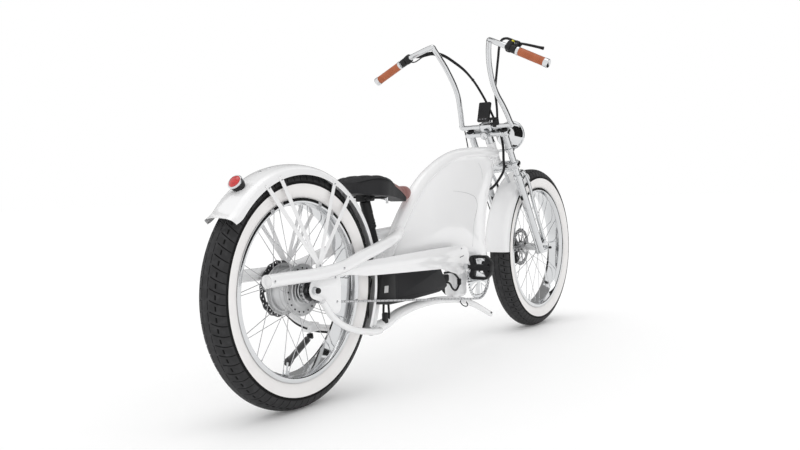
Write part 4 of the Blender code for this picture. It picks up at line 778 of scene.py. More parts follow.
def wheels():
    make_tyre("rear_whitewall", REAR, "rear_wheel")
    make_tyre("front_whitewall", FRONT, "front_wheel")
    make_rim("rear_rim_hoop", REAR, "rear_wheel", "rear_rim")
    make_rim("front_rim_hoop", FRONT, "front_wheel", "front_rim")
    for word, y in (("right", -0.035), ("left", 0.040)):
        make_spokes("rear_lacing_" + word, REAR, 0.078, y, "rear_wheel", "rear_spokes_" + word, HUB_METAL)
    for word, y in (("right", -0.031), ("left", 0.036)):
        make_spokes("front_lacing_" + word, FRONT, 0.030, y, "front_wheel", "front_spokes_" + word, FRONT_HUB_METAL)
    make_rotor("rear_rotor", REAR, 0.060, "rear_wheel", DARK_STEEL)
    make_rotor("front_rotor", FRONT, 0.060, "front_wheel", ROTOR_STEEL)
    motor_hub()
    front_hub()
    axle("rear_axle", REAR, 0.007, 0.098, 0.0837, "frame")
    axle("front_axle", FRONT, 0.0045, 0.094, 0.076, "fork_lowers")


# Frame


ARCH = [
    (0.478, 0.0, 0.398), (0.523, 0.0, 0.457), (0.583, 0.0, 0.528), (0.660, 0.0, 0.612), (0.749, 0.0, 0.690),
    (0.830, 0.0, 0.736), (0.920, 0.0, 0.774), (1.020, 0.0, 0.800), (1.180, 0.0, 0.814), (1.362, 0.0, 0.818),
]
STAY = [
    (-0.218, 0.090, 0.424), (0.122, 0.090, 0.431), (0.257, 0.088, 0.461), (0.380, 0.082, 0.486),
    (0.467, 0.066, 0.503), (0.575, 0.014, 0.518),
]
CHAINSTAY = [
    (0.030, 0.0895, 0.336), (0.080, 0.0895, 0.280), (0.151, 0.088, 0.237), (0.287, 0.083, 0.200),
    (0.362, 0.068, 0.191), (0.414, 0.016, 0.185),
]
LOWER = [
    (0.398, 0.0, 0.183), (0.477, 0.0, 0.190), (0.588, 0.0, 0.218), (0.762, 0.0, 0.231), (0.930, 0.0, 0.222),
    (1.080, 0.0, 0.196), (1.300, 0.0, 0.111),
]
LOWER_R = 0.022
LOWER_SIZES = (1.0, 0.95, 0.85, 0.66, 0.62, 0.60, 0.50)    # shares of LOWER_R at the points of LOWER
PANEL_OUTLINE = [
    (0.583, 0.528), (0.660, 0.612), (0.749, 0.690), (0.830, 0.736), (0.920, 0.774), (1.020, 0.800),
    (1.120, 0.811), (1.210, 0.814), (1.290, 0.806), (1.330, 0.776), (1.318, 0.720), (1.280, 0.655),
    (1.250, 0.560), (1.234, 0.470), (1.236, 0.410), (1.248, 0.365), (1.238, 0.330), (1.205, 0.318),
    (1.130, 0.337), (1.000, 0.362), (0.850, 0.378), (0.700, 0.390), (0.620, 0.398), (0.566, 0.415),
    (0.548, 0.450), (0.556, 0.492),
]
PANEL_CENTRE = np.array((0.93, 0.575))
GUARD_OUTLINE = [
    (0.104, 0.424), (0.112, 0.408), (0.145, 0.404), (0.187, 0.402), (0.268, 0.390), (0.500, 0.378),
    (0.752, 0.366), (0.828, 0.345), (0.880, 0.331), (0.915, 0.334), (0.948, 0.356), (0.962, 0.390),
    (0.958, 0.425), (0.930, 0.446), (0.700, 0.446), (0.460, 0.443), (0.285, 0.441), (0.200, 0.441),
    (0.130, 0.441),
]


def main_frame():
    """The arched top tube, the head tube with its rings, the seat tube and the cross tube."""
    shape = Shape(PAINT)
    shape.tube(curve(ARCH, 10), 0.025, 40, 0.15)
    low, high = fork(0.0, 0), fork(0.105, 0)
    shape.bar(low, high, 0.019, 48, 0.1)
    for s in (0.004, 0.101):
        shape.turned(rounded([(0.0, -0.004), (0.0205, -0.004), (0.0205, 0.004), (0.0, 0.004)], 0.001),
                     fork(s, 0), -DOWN_FORK, 48)
    seat_top = POST_LOW + POST_UP * 0.082
    shape.bar(POST_LOW, seat_top, 0.0185, 40, 0.12)
    shape.turned(rounded([(0.0, 0.0), (0.0205, 0.0), (0.0205, 0.012), (0.0, 0.012)], 0.0015),
                 seat_top - POST_UP * 0.013, POST_UP, 40)
    shape.bar(POST_LOW + POST_UP * 0.060, (0.556, 0.0, 0.508), 0.013, 32, 0.2)
    shape.bar((0.409, 0.0, 0.193), (0.480, 0.0, 0.404), 0.015, 36, 0.2)
    wire = [(0.390, -0.020, 0.371), (0.3685, -0.020, 0.293), (0.358, -0.020, 0.2006)]
    shape.use(CABLE).tube(curve(wire, 8), 0.0022, 10)
    shape.finish("arched_tube", "frame", ["main_frame"], "white_paint")


def lower_frame():
    """The lower tube, which thins towards its tip, with the column, the bottom bracket shell and a cable clip."""
    shape = Shape(PAINT)
    path = curve(LOWER, 10)
    sizes = np.interp(np.arange(len(path)) / 10, np.arange(len(LOWER)), LOWER_SIZES) * LOWER_R
    shape.tube(path, sizes, 36, 0.5)
    shape.block((0.090, 0.068, 0.180), (1.0, 0.0, 0.315), edge=0.022, steps=6)
    shape.bar(BB - (0, 0.036, 0), BB + (0, 0.036, 0), 0.024, 48, 0.08)
    shape.block((0.060, 0.040, 0.030), (BB[0] - 0.030, 0.0, BB[2]), edge=0.008)
    for side in (RIGHT, LEFT):
        cup = [(0.0, 0.0), (0.0215, 0.0), (0.0215, 0.003), (0.018, 0.005), (0.0, 0.005)]
        shape.use(POLISHED).turned(cup, BB + (0, side * 0.034, 0), (0, side, 0), 40)
    tip, run = path[-1], unit(path[-1] - path[-2])
    bolt(shape, tip - run * 0.020 + (0, -0.0105, 0.002), (0, -1, 0.2), 0.0045, 0.003, BLACK_METAL)
    clip = curve([(1.015, -0.010, 0.212), (1.008, -0.020, 0.196), (1.024, -0.030, 0.184), (1.046, -0.028, 0.188),
                  (1.052, -0.018, 0.198)], 8)
    shape.use(CABLE).tube(clip, 0.0022, 10)
    shape.finish("lower_tube", "frame", ["lower_frame"], "white_paint")


def rear_ends():
    """The sweeping upper stays, and the chainstays with their drop-out plates."""
    for side, word in SIDES:
        shape = Shape(PAINT)
        path = curve([(x, side * y, z) for x, y, z in STAY], 12)
        shape.tube(path, 0.020, 36, 0.25)
        for x, z in ((-0.205, 0.424), (0.118, 0.431)):
            bolt(shape, (x, side * 0.1095, z), (0, side, 0), 0.0045, 0.003, POLISHED)
        shape.finish("stay_tube_" + word, "frame", ["upper_stay_" + word], "white_paint")

        shape = Shape(PAINT)
        shape.tube(curve([(x, side * y, z) for x, y, z in CHAINSTAY], 12), 0.011, 28, 0.25)
        outline = [(0.020, 0.425), (0.126, 0.425), (0.133, 0.381), (0.129, 0.300), (0.118, 0.288), (0.083, 0.290),
                   (0.030, 0.335), (-0.012, 0.350), (-0.024, 0.373), (-0.014, 0.400)]
        outline = rounded(outline, 0.010, closed=True)
        inner, outer = sorted((side * 0.080, side * 0.0837))
        shape.plate(outline, inner, outer, [circle(REAR, 0.0072, 24)], 0.0008)
        for x, z in ((0.104, 0.402), (0.110, 0.325)):
            bolt(shape, (x, side * 0.0835, z), (0, side, 0), 0.0042, 0.0028, POLISHED)
        if side == LEFT:
            # A black tube in the cable finish runs along the underside of the left chainstay
            below = curve([(x + 0.004, y + 0.004, z - 0.015) for x, y, z in CHAINSTAY[:5]], 8)
            shape.use(CABLE).tube(below, 0.0045, 14)
            shape.use(PAINT).block((0.050, 0.042, 0.030), (0.188, 0.095, 0.219), edge=0.006)
            shape.use(POLISHED).bar(KICK_PIVOT - KICK_AXIS * 0.0105, KICK_PIVOT + KICK_AXIS * 0.026, 0.004, 20)
        shape.finish("chainstay_tube_" + word, "frame", ["chainstay_" + word], "white_paint")


def body_sides():
    """Each side of the body swells from its smooth outline: depth falls off near the edge as a superellipse."""
    skin = 0.0020
    outline = curve(PANEL_OUTLINE, 6, round_trip=True)
    share = np.concatenate([np.linspace(0.0, 0.7, 10)[:-1], 1 - 0.3 * np.linspace(1, 0, 15) ** 1.8])
    flat = PANEL_CENTRE + (outline - PANEL_CENTRE)[None] * share[:, None, None]

    def swell(x, share):
        width = 0.058 * np.minimum(1.0, 0.50 + (x - 0.56) / 0.40)
        return 0.0003 + (width - 0.0003) * np.maximum(0.0, 1 - share ** 2.6) ** (1 / 2.3)

    def on_side(line):
        """The points of a line drawn on the flat, lifted onto the right side's surface."""
        away, edge = line - PANEL_CENTRE, outline - PANEL_CENTRE
        angle = np.arctan2(edge[:, 1], edge[:, 0])
        reach = np.interp(np.arctan2(away[:, 1], away[:, 0]), np.sort(angle),
                          np.linalg.norm(edge, axis=1)[np.argsort(angle)], period=2 * pi)
        return np.stack([line[:, 0], -swell(line[:, 0], np.linalg.norm(away, axis=1) / reach), line[:, 1]], -1)

    depth = swell(flat[..., 0], share[:, None])
    for side, word in SIDES:
        outer = np.stack([flat[..., 0], side * depth, flat[..., 1]], -1)
        inner = np.stack([flat[..., 0], side * np.maximum(depth - skin, 0.0002), flat[..., 1]], -1)
        shape = Shape(PAINT)
        shape.grid(np.concatenate([outer, inner[::-1]]))
        if side == RIGHT:
            # On the right side two thin grey lines are drawn on the panel: the seam of a cover, and a short stroke
            # that is painted shade for a dent
            cover = [(0.9031, 0.6590), (0.9675, 0.6536), (1.0383, 0.6422), (1.0850, 0.6240), (1.0990, 0.5935),
                     (1.0719, 0.5352), (1.0569, 0.4833), (1.0569, 0.4256)]
            dent_shade = [(1.1433, 0.7711), (1.1527, 0.7543), (1.1566, 0.7332), (1.1511, 0.6996)]
            shape.use(SEAM_AND_DENT_SHADE)
            for line, radius in ((cover, 0.0008), (dent_shade, 0.0006)):
                path = on_side(curve(line, 10))
                shape.tube(path, radius * np.sin(np.linspace(0.15, pi - 0.15, len(path))) ** 0.4, 8)
        shape.finish("body_side_" + word, "frame", ["body_panel_" + word], "white_panel", smooth=60)


def guard():
    """The flat chain guard, with a thin grey sheet near its front end painted as the shade in a slot."""
    shape = Shape(PAINT)
    outline = rounded(GUARD_OUTLINE, 0.012, closed=True)
    slot = rounded([(0.888, 0.396), (0.920, 0.401), (0.921, 0.405), (0.889, 0.400)], 0.0015, closed=True)
    shape.plate(outline, -0.087, -0.084, (), 0.0009)
    # painted shade: a grey sheet stands where a slot's dark inside shows
    shape.use(GREY).plate(slot, -0.0872, -0.0860, (), 0.0002)
    shape.use(PAINT)
    shape.bar((0.90, -0.086, 0.432), (0.90, -0.030, 0.432), 0.006, 20)
    for x, z in ((0.150, 0.420), (0.90, 0.432)):
        bolt(shape, (x, -0.0868, z), (0, -1, 0), 0.0042, 0.0026, POLISHED)
    shape.finish("chain_guard_plate", "frame", ["chain_guard"], "white_paint")


def battery():
    """The case with its rear cheeks, a plain label, its front plug and leads, and a lead that hangs below it."""
    front = [(0.450, 0.2655), (0.488, 0.3785), (0.620, 0.3785), (0.812, 0.3665), (0.862, 0.290), (0.850, 0.281),
             (0.800, 0.270), (0.560, 0.264)]
    rear = [(0.387, 0.283), (0.4145, 0.3765), (0.430, 0.3785), (0.500, 0.3785), (0.500, 0.266), (0.400, 0.274)]
    shape = Shape(CASE)
    shape.plate(rounded(front, 0.008, closed=True), -0.045, 0.045, (), 0.006)
    for side in (RIGHT, LEFT):
        low, high = sorted((side * 0.0155, side * 0.0457))
        shape.use(BLACK).plate(rounded(rear, 0.006, closed=True), low, high, (), 0.005)
    label = [(0.424, 0.312), (0.449, 0.311), (0.452, 0.335), (0.429, 0.336)]
    shape.use(LABEL).plate(rounded(label, 0.002, closed=True), -0.0463, -0.0455, (), 0.0002)
    shape.use(BLACK).block((0.080, 0.040, 0.030), (0.880, 0.0, 0.312), edge=0.008)
    shape.block((0.014, 0.014, 0.026), (0.968, -0.035, 0.292), edge=0.004)
    leads = (
        [(0.862, -0.030, 0.338), (0.905, -0.037, 0.336), (0.938, -0.037, 0.322), (0.962, -0.035, 0.306)],
        [(0.862, -0.030, 0.300), (0.885, -0.036, 0.296), (0.915, -0.037, 0.268), (0.945, -0.035, 0.262),
         (0.968, -0.035, 0.280)],
    )
    for lead in leads:
        shape.tube(curve(lead, 8), 0.0040, 14)
    hanging = [(0.470, -0.010, 0.266), (0.465, -0.012, 0.228), (0.472, -0.012, 0.190), (0.486, -0.012, 0.184),
               (0.496, -0.012, 0.202), (0.500, -0.010, 0.266)]
    shape.tube(curve(hanging, 10), 0.0042, 12)
    shape.block((0.022, 0.016, 0.040), (0.474, -0.012, 0.214), edge=0.004)
    shape.finish("battery_pack", "frame", ["battery_case"], "charcoal_case")


# Fenders and tail light


FENDER_SECTION = [(0.3570, 0.0570), (0.3660, 0.0560), (0.3740, 0.0535), (0.3820, 0.0430), (0.3860, 0.0280),
                  (0.3884, 0.0130), (0.3890, 0.0)]


def fender(name, centre, start, end, steps, node, body, lip=0.0):
    """A crowned section swept about the axle, with rolled edges and, at one end, a lip that kicks out."""
    wall = 0.0007
    half = curve(FENDER_SECTION, 4)
    section = np.vstack([half, (half * (1, -1))[-2::-1]])
    normal = unit(np.stack([-np.gradient(section[:, 1]), np.gradient(section[:, 0])], -1))
    loop = np.vstack([section + normal * wall, (section - normal * wall)[::-1]])
    turn = np.linspace(start, end, steps)
    kick = lip * np.clip((turn - end + 0.10) / 0.10, 0, 1) ** 2
    rows = about_axle(centre, loop[None, :, 0] + kick[:, None], turn[:, None], 0.0)
    rows[..., 1] = loop[None, :, 1]
    shape = Shape(PAINT)
    shape.grid(rows)
    count = len(section)
    for row in (rows[0], rows[-1]):
        shape.grid(np.stack([row[:count], row[count:][::-1]]), round_v=False)
    for way in (1, -1):
        bead = about_axle(centre, 0.3568 + kick, turn, way * 0.0572)
        shape.tube(bead, 0.0016, 8)
    return shape


def fenders():
    """Both fenders and, on each side of the rear one, four strips that fan out from one bolt."""
    shape = fender("rear_mudguard", REAR, radians(-27), radians(143.5), 120, "rear_fender", "frame", 0.012)
    for degrees in (104, 110, 62, 124):
        top = about_axle(REAR, 0.3894, radians(degrees), 0.0)
        bolt(shape, top, top - REAR, 0.0045, 0.0024, POLISHED)
    shape.finish("rear_mudguard", "frame", ["rear_fender"], "white_paint")
    shape = fender("front_mudguard", FRONT, radians(112), radians(179), 60, "front_fender", "fork_lowers")
    shape.finish("front_mudguard", "fork_lowers", ["front_fender"], "white_paint")
    for side, word in SIDES:
        foot = np.array((0.047, side * 0.0665, 0.444))
        shape = Shape(PAINT)
        shape.turned(rounded([(0.0, -0.0028), (0.014, -0.0028), (0.014, 0.0028), (0.0, 0.0028)], 0.0008), foot)
        bolt(shape, foot + (0, side * 0.0026, 0), (0, side, 0), 0.0050, 0.003, POLISHED)
        for degrees in (52, 66, 107.5, 117.5):
            top = about_axle(REAR, 0.364, radians(degrees), side * 0.0595)
            run = unit(top - foot)
            across = unit(np.cross((0, 1, 0), run))
            turn = np.column_stack([across, unit(np.cross(run, across)), run])
            length = np.linalg.norm(top - foot) + 0.006
            shape.use(PAINT).block((0.015, 0.0026, length), (foot + top) / 2, turn, 0.0010)
            bolt(shape, top - run * 0.008 + (0, side * 0.001, 0), (0, side, 0), 0.0032, 0.0022, POLISHED)
        shape.finish("mudguard_strips_" + word, "frame", ["fender_strut_" + word], "white_paint")


def tail_light():
    """A black cup with a chrome ring, and a domed red lens in it."""
    place, face = np.array((-0.238, 0.0, 0.710)), unit(np.array((-0.80, 0.0, 0.60)))
    cup = [(0.0, -0.031), (0.0150, -0.031), (0.0200, -0.020), (0.0226, -0.006), (0.0226, 0.0), (0.0, 0.0)]
    ring = [(0.0190, -0.002), (0.0238, -0.002), (0.0242, 0.001), (0.0225, 0.0045), (0.0190, 0.0040)]
    base = Shape(BLACK)
    base.turned(rounded(cup, 0.002), place, face)
    base.use(CHROME).turned(rounded(ring, 0.0008, closed=True), place, face, loop=True)
    base.finish("tail_lamp_base", "frame", ["tail_light_base"], "black_plastic")
    lens = Shape(RED)
    dome = [(0.0, 0.0125), (0.0068, 0.0120), (0.0130, 0.0100), (0.0175, 0.0070), (0.0203, 0.0034), (0.0208, 0.0004)]
    lens.turned(np.vstack([curve(dome, 5), (0.0, 0.0004)]), place, face)
    lens.finish("tail_lamp_lens", "frame", ["tail_light_lens"], "red_lens")


# Saddle


SADDLE_X = (0.303, 0.318, 0.350, 0.395, 0.450, 0.510, 0.560, 0.598)
SADDLE_HALF = (0.034, 0.064, 0.086, 0.090, 0.076, 0.055, 0.042, 0.035)
SADDLE_TOP = (0.702, 0.712, 0.721, 0.725, 0.717, 0.700, 0.689, 0.684)
SADDLE_SEAM = (0.6985, 0.7050, 0.7090, 0.7050, 0.6940, 0.6780, 0.6620, 0.6420)
SADDLE_LOW = (0.664, 0.660, 0.657, 0.654, 0.650, 0.644, 0.636, 0.628)
QUILT = 0.030         # from one stitched line to the next
PUFF = 0.0034         # how far the cover swells between them


def saddle_rows(x, half, low, high, crown, sides=96):
    """Sections across the saddle, straight-sided below and rounded on top."""
    angle = 2 * pi * (np.arange(sides) + 0.5) / sides
    c, s = np.cos(angle)[None], np.sin(angle)[None]
    y = half[:, None] * np.abs(c) ** 0.6 * np.sign(c)
    top = high[:, None] - crown[:, None] + crown[:, None] * np.maximum(s, 0) ** 0.9
    bottom = np.broadcast_to(low[:, None], top.shape)
    z = np.where(s > 0, top, bottom)
    y = np.where(s > 0, y, y * 0.94)
    return np.stack([np.broadcast_to(x[:, None], y.shape), y, z], -1)


def saddle():
    """A quilted cover that swells between its stitched lines, over a plain black shell."""
    nose = np.array([(0.602, 0.0345, 0.684, 0.634), (0.630, 0.031, 0.683, 0.645), (0.648, 0.022, 0.677, 0.659),
                     (0.656, 0.006, 0.671, 0.668)])
    table = np.column_stack([SADDLE_X, SADDLE_HALF, SADDLE_TOP, SADDLE_SEAM, SADDLE_LOW])
    fine = curve(table, 12)
    x, half, top, seam, low = fine.T
    shell = Shape(SADDLE_BLACK)
    shell.grid(capped(saddle_rows(x, half, low, seam, np.zeros_like(x))))
    for side in (RIGHT, LEFT):
        welt = np.stack([x, side * (half - 0.0003), seam - 0.0006], -1)
        shell.tube(welt, 0.0011, 8)
    shell.finish("saddle_shell", "saddle", ["saddle_base"], "black_plastic", smooth=40)

    tip = curve(nose, 8)
    x = np.concatenate([x, tip[:, 0]])
    half = np.concatenate([half - 0.002, tip[:, 1]])
    low = np.concatenate([seam + 0.0003, tip[:, 3]])
    high = np.concatenate([top, tip[:, 2]])
    crown = np.concatenate([top - seam - 0.002, np.minimum(0.022, tip[:, 2] - tip[:, 3])])
    rows = saddle_rows(x, half, low, high, crown, 128)
    u, v = rows[..., 0] / QUILT, rows[..., 1] / QUILT
    quilt = np.minimum(np.abs(np.sin(pi * (u + v) / 2)), np.abs(np.sin(pi * (u - v) / 2)))
    upper = np.clip((rows[..., 2] - (high - crown)[:, None]) / 0.006, 0, 1)
    rows[..., 2] += (np.sqrt(quilt) - 0.75) * PUFF * upper
    rows = capped(rows)
    cover = Shape(SEAT_HIDE)
    cover.grid(rows)
    centres = (rows[:-1] + rows[1:]) / 2
    border = np.interp(centres[..., 0], (0.385, 0.42, 0.46, 0.50), (1.0, 0.50, 0.20, 0.0))
    limit = np.interp(centres[..., 0], SADDLE_X, SADDLE_HALF) * (1.02 - border)
    cover.use(SADDLE_BLACK)
    cover.marks[0][(np.abs(centres[..., 1]) > limit).ravel()] = cover.mark
    piece = cover.finish("saddle_cushion", "saddle", ["saddle_cover"], "saddle_cover", smooth=60)


def seat_posts():
    """The thin fixed post with its collar, and the sprung sleeve with its boot, clamp and rails."""
    shape = Shape(BLACK_METAL)
    shape.bar(POST_LOW + POST_UP * 0.0045, POST_LOW + POST_UP * 0.215, 0.0135, 36, 0.1)
    collar = rounded([(0.0, 0.0), (0.0200, 0.0), (0.0200, 0.010), (0.0, 0.010)], 0.0015)
    shape.use(PAINT).turned(collar, POST_LOW + POST_UP * 0.0823, POST_UP, 40)
    shape.finish("seat_post_tube", "frame", ["seat_post"], "black_metal")
    shape = Shape(BLACK_METAL)
    boot = [(r, 0.150 + 0.0052 * k) for k, r in enumerate((0.0178, 0.0192, 0.0176, 0.0192, 0.0176, 0.0192))]
    profile = [(0.0140, 0.150), *boot, (0.0180, 0.180), (0.0180, 0.203),
               (0.0190, 0.207), (0.0190, 0.246), (0.0170, 0.252), (0.0140, 0.252)]
    shape.turned(rounded(profile, 0.001, closed=True), POST_LOW, POST_UP, 44, loop=True)
    shape.block((0.050, 0.052, 0.026), (0.390, 0.0, 0.648), edge=0.006)
    shape.block((0.036, 0.036, 0.076), (0.374, 0.0, 0.672), edge=0.005)
    for side in (RIGHT, LEFT):
        rail = curve([(0.352, side * 0.020, 0.650), (0.45, side * 0.021, 0.645), (0.53, side * 0.014, 0.649)], 10)
        shape.tube(rail, 0.0035, 16)
        bolt(shape, (0.390, side * 0.0255, 0.648), (0, side, 0), 0.0075, 0.005)
    shape.use(CHROME).bar((0.500, -0.016, 0.634), (0.500, -0.016, 0.652), 0.0075, 20)
    shape.bar((0.500, -0.016, 0.624), (0.500, -0.016, 0.640), 0.0045, 14)
    shape.finish("post_spring_sleeve", "saddle", ["post_sleeve"], "black_metal")


def kickstand():
    """A round leg on its pivot, thinner near it, with a rubber foot."""
    shape = Shape(BLACK_METAL)
    path = KICK_PIVOT + KICK_RUN * np.linspace(0, np.linalg.norm(KICK_FOOT - KICK_PIVOT), 24)[:, None]
    shape.tube(path, np.concatenate([[0.0088] * 3, [0.0115] * 21]), 24)
    shape.bar(KICK_PIVOT - KICK_AXIS * 0.007, KICK_PIVOT + KICK_AXIS * 0.007, 0.011, 28, 0.15)
    foot = [(0.0, -0.018), (0.0105, -0.018), (0.0130, -0.015), (0.0140, 0.000), (0.0160, 0.019), (0.0150, 0.022),
            (0.0, 0.022)]
    shape.use(BLACK).turned(rounded(foot, 0.001), KICK_FOOT, KICK_RUN, 32)
    shape.finish("kickstand_bar", "kickstand", ["kickstand_leg"], "black_metal")


# Drive


CHAIN_PITCH = 0.0127
BIG_TEETH, SMALL_TEETH = 44, 18


def pitch_radius(teeth):
    return CHAIN_PITCH / (2 * sin(pi / teeth))


def toothed(centre, teeth):
    """A sprocket's outline: rounded gaps between flat-topped teeth."""
    pitch = pitch_radius(teeth)
    turn = np.linspace(0, 2 * pi, teeth * 8, endpoint=False)
    wave = np.cos(teeth * turn)
    return polar(centre, pitch - 0.0004 + 0.0034 * np.clip(wave * 1.25, -1, 0.85), turn)


def chain_line():
    """The chain's centre line as a closed loop: an arc on each sprocket joined by straight runs."""
    big, small = pitch_radius(BIG_TEETH), pitch_radius(SMALL_TEETH)
    dx, dz = BB[0] - REAR[0], BB[2] - REAR[2]
    lean = atan2(dz, dx)
    wrap = pi / 2 + atan2(big - small, (hypot(dx, dz) ** 2 - (big - small) ** 2) ** 0.5)
    front = lean - wrap + 2 * wrap * np.linspace(0, 1, 160)
    rear = lean + wrap + (2 * pi - 2 * wrap) * np.linspace(0, 1, 90)
    rows = np.vstack([polar(BB, big, front), polar(REAR, small, rear)])
    return np.vstack([rows, rows[:1]])


def chain():
    """Waisted side plates, wide and narrow in turn, with a roller at each joint."""
    line = chain_line()
    along = np.concatenate([[0], np.cumsum(np.linalg.norm(np.diff(line, axis=0), axis=1))])
    count = 2 * round(along[-1] / (2 * CHAIN_PITCH))
    marks = np.linspace(0, along[-1], count + 1)
    pins = np.stack([np.interp(marks, along, line[:, 0]), np.interp(marks, along, line[:, 1])], -1)
    start, end = pins[:-1], pins[1:]
    run = unit(end - start)
    side = np.stack([-run[:, 1], run[:, 0]], -1)
    t = np.linspace(0, 2 * pi, 20, endpoint=False)
    waist = 0.0042
    u = np.cos(t) * (CHAIN_PITCH / 2 + waist)
    v = np.sin(t) * waist * (1 - 0.32 * np.exp(-(u / 0.0028) ** 2))
    middle = (start + end) / 2
    oval = middle[:, None] + run[:, None] * u[None, :, None] + side[:, None] * v[None, :, None]
    shape = Shape(CHAIN_STEEL)
    even = np.arange(count) % 2 == 0
    for way in (RIGHT, LEFT):
        inner = np.where(even, 0.0022, 0.0033)[:, None]
        low, high = CHAIN_Y + way * inner, CHAIN_Y + way * (inner + 0.0010)
        rings = []
        for y, shrink in ((low, 0.0), (low, 1.0), (high, 1.0), (high, 0.0)):
            spot = middle[:, None] + (oval - middle[:, None]) * shrink
            rings.append(np.stack([spot[..., 0], np.broadcast_to(y, spot.shape[:2]), spot[..., 1]], -1))
        strips(shape, np.stack(rings))
    turn = np.linspace(0, 2 * pi, 10, endpoint=False)
    shape.use(POLISHED)
    rings = []
    for y, r in ((-0.0045, 0.0), (-0.0045, 0.0018), (-0.0030, 0.0020), (-0.0022, 0.0038), (0.0022, 0.0038),
                 (0.0030, 0.0020), (0.0045, 0.0018), (0.0045, 0.0)):
        rings.append(np.stack([start[:, :1] + r * np.cos(turn), np.full((count, 10), CHAIN_Y + y),
                               start[:, 1:] + r * np.sin(turn)], -1))
    strips(shape, np.stack(rings))
    shape.finish("drive_chain", "frame", ["chain"], "steel")


def sprockets():
    """The rear cog on its freewheel, and the chainring with five windows and ten thin arms."""
    shape = Shape(DARK_STEEL)
    shape.plate(toothed(REAR, SMALL_TEETH), CHAIN_Y - 0.0012, CHAIN_Y + 0.0012, [circle(REAR, 0.012)], 0.0003)
    body = [(0.0090, -0.0635), (0.0270, -0.0635), (0.0270, -0.0465), (0.0090, -0.0465)]
    shape.use(BLACK_METAL).turned(rounded(body, 0.001, closed=True), REAR, steps=56, loop=True)
    shape.finish("freewheel_cog", "freewheel", ["freewheel"], "black_metal")

    shape = Shape(CHROME)
    middles = [2 * pi * k / 5 + radians(18) for k in range(5)]
    corners = [(0.026, -10), (0.046, -25), (0.074, -27), (0.078, 0), (0.074, 27), (0.046, 25), (0.026, 10)]
    windows = [circle(BB, 0.0135, 40)] + [window(BB, corners, middle, 0.006) for middle in middles]
    shape.plate(toothed(BB, BIG_TEETH), CHAIN_Y - 0.0015, CHAIN_Y + 0.0015, windows, 0.0004)
    for middle in middles:
        for way in (-1, 1):
            a = about_axle(BB, 0.034, middle, CHAIN_Y - 0.001)
            b = about_axle(BB, 0.0745, middle + way * radians(15), CHAIN_Y - 0.001)
            shape.bar(a, b, 0.0020, 10)
    shape.finish("chainwheel", "crank", ["chainring"], "polished_alloy")


CRANK_LENGTH = 0.170
CRANK_OUT = 0.101     # from the mid-plane to a crank's end
PEDAL_IN = 0.1135     # from the mid-plane to a pedal's inner end


def cranks():
    """Each crank with its boss, its cap, its pedal's pin and its part of the spindle, and then its pedal."""
    for side, word in SIDES:
        angle = CRANK_ANGLE if side == RIGHT else CRANK_ANGLE + pi
        end = BB + (CRANK_LENGTH * cos(angle), side * CRANK_OUT, CRANK_LENGTH * sin(angle))
        root = BB + (0, side * 0.085, 0)
        out = np.array((0, side, 0), float)
        shape = Shape(CHROME)
        path = curve([root, (root + end) / 2, end], 12)
        shape.tube(path, np.interp(np.linspace(0, 2, len(path)), (0, 1, 2), (0.0126, 0.0100, 0.0095)), 28)
        boss = [(0.0, 0.0785), (0.0170, 0.0785), (0.0170, 0.0940), (0.0, 0.0950)]
        shape.turned(rounded(boss, 0.002), BB, out, 40)
        shape.bar(end - out * 0.008, end + out * 0.009, 0.0125, 32, 0.2)
        shape.use(BLACK).turned([(0.0, 0.0975), (0.0095, 0.0970), (0.0110, 0.0940), (0.0, 0.0940)], BB, out, 32)
        shape.use(POLISHED).bar(end, end + out * (PEDAL_IN - CRANK_OUT + 0.092), 0.0045, 20)
        if side == RIGHT:
            shape.bar(BB - (0, 0.080, 0), BB - (0, 0.054, 0), 0.0128, 40, 0.05)
        else:
            shape.bar(BB - (0, 0.0945, 0), BB + (0, 0.082, 0), 0.0085, 28, 0.1)
        shape.finish("crank_arm_" + word, "crank", ["crank_" + word], "polished_alloy")
        pedal(word, end, side)


def pedal(word, end, side):
    """A platform with two windows, small studs along its treads and a round sleeve over its pin."""
    half_long, half_wide = 0.0475, 0.049
    middle = np.array((end[0], side * (PEDAL_IN + half_wide), end[2]))
    outline = [
        (-half_wide + 0.012, -half_long), (half_wide - 0.024, -half_long), (half_wide - 0.006, -half_long + 0.018),
        (half_wide, -0.018), (half_wide, 0.018), (half_wide - 0.006, half_long - 0.018),
        (half_wide - 0.024, half_long), (-half_wide + 0.012, half_long), (-half_wide, half_long - 0.014),
        (-half_wide + 0.008, 0.012), (-half_wide + 0.008, -0.012), (-half_wide, -half_long + 0.014),
    ]
    windows = []
    for way in (1, -1):
        ring = [(-0.024, way * 0.012), (0.014, way * 0.012), (0.026, way * 0.037), (-0.030, way * 0.037)]
        windows.append(rounded(ring, 0.003, closed=True))
        windows.append(circle((0.0385, way * 0.012), 0.0030, 16))
    turn = np.eye(4)
    turn[:3, :3] = [[0, -side, 0], [side, 0, 0], [0, 0, 1]]
    turn[:3, 3] = middle
    shape = Shape(BLACK)
    shape.plate(rounded(outline, 0.007, closed=True), -0.0125, 0.0125, windows, 0.0015, turn)
    out = np.array((0, side, 0), float)
    shape.bar(middle - out * half_wide, middle + out * half_wide * 0.9, 0.0095, 28, 0.1)
    for way in (1, -1):
        for k in np.linspace(-0.030, 0.022, 5):
            for face in (1, -1):
                stud = middle + out * k + np.array((face * 0.0122, 0, way * 0.0425))
                shape.bar(stud, stud + (face * 0.0022, 0, 0), 0.0014, 8)
    shape.finish("pedal_platform_" + word, "pedal_" + word, ["pedal_" + word], "black_plastic")


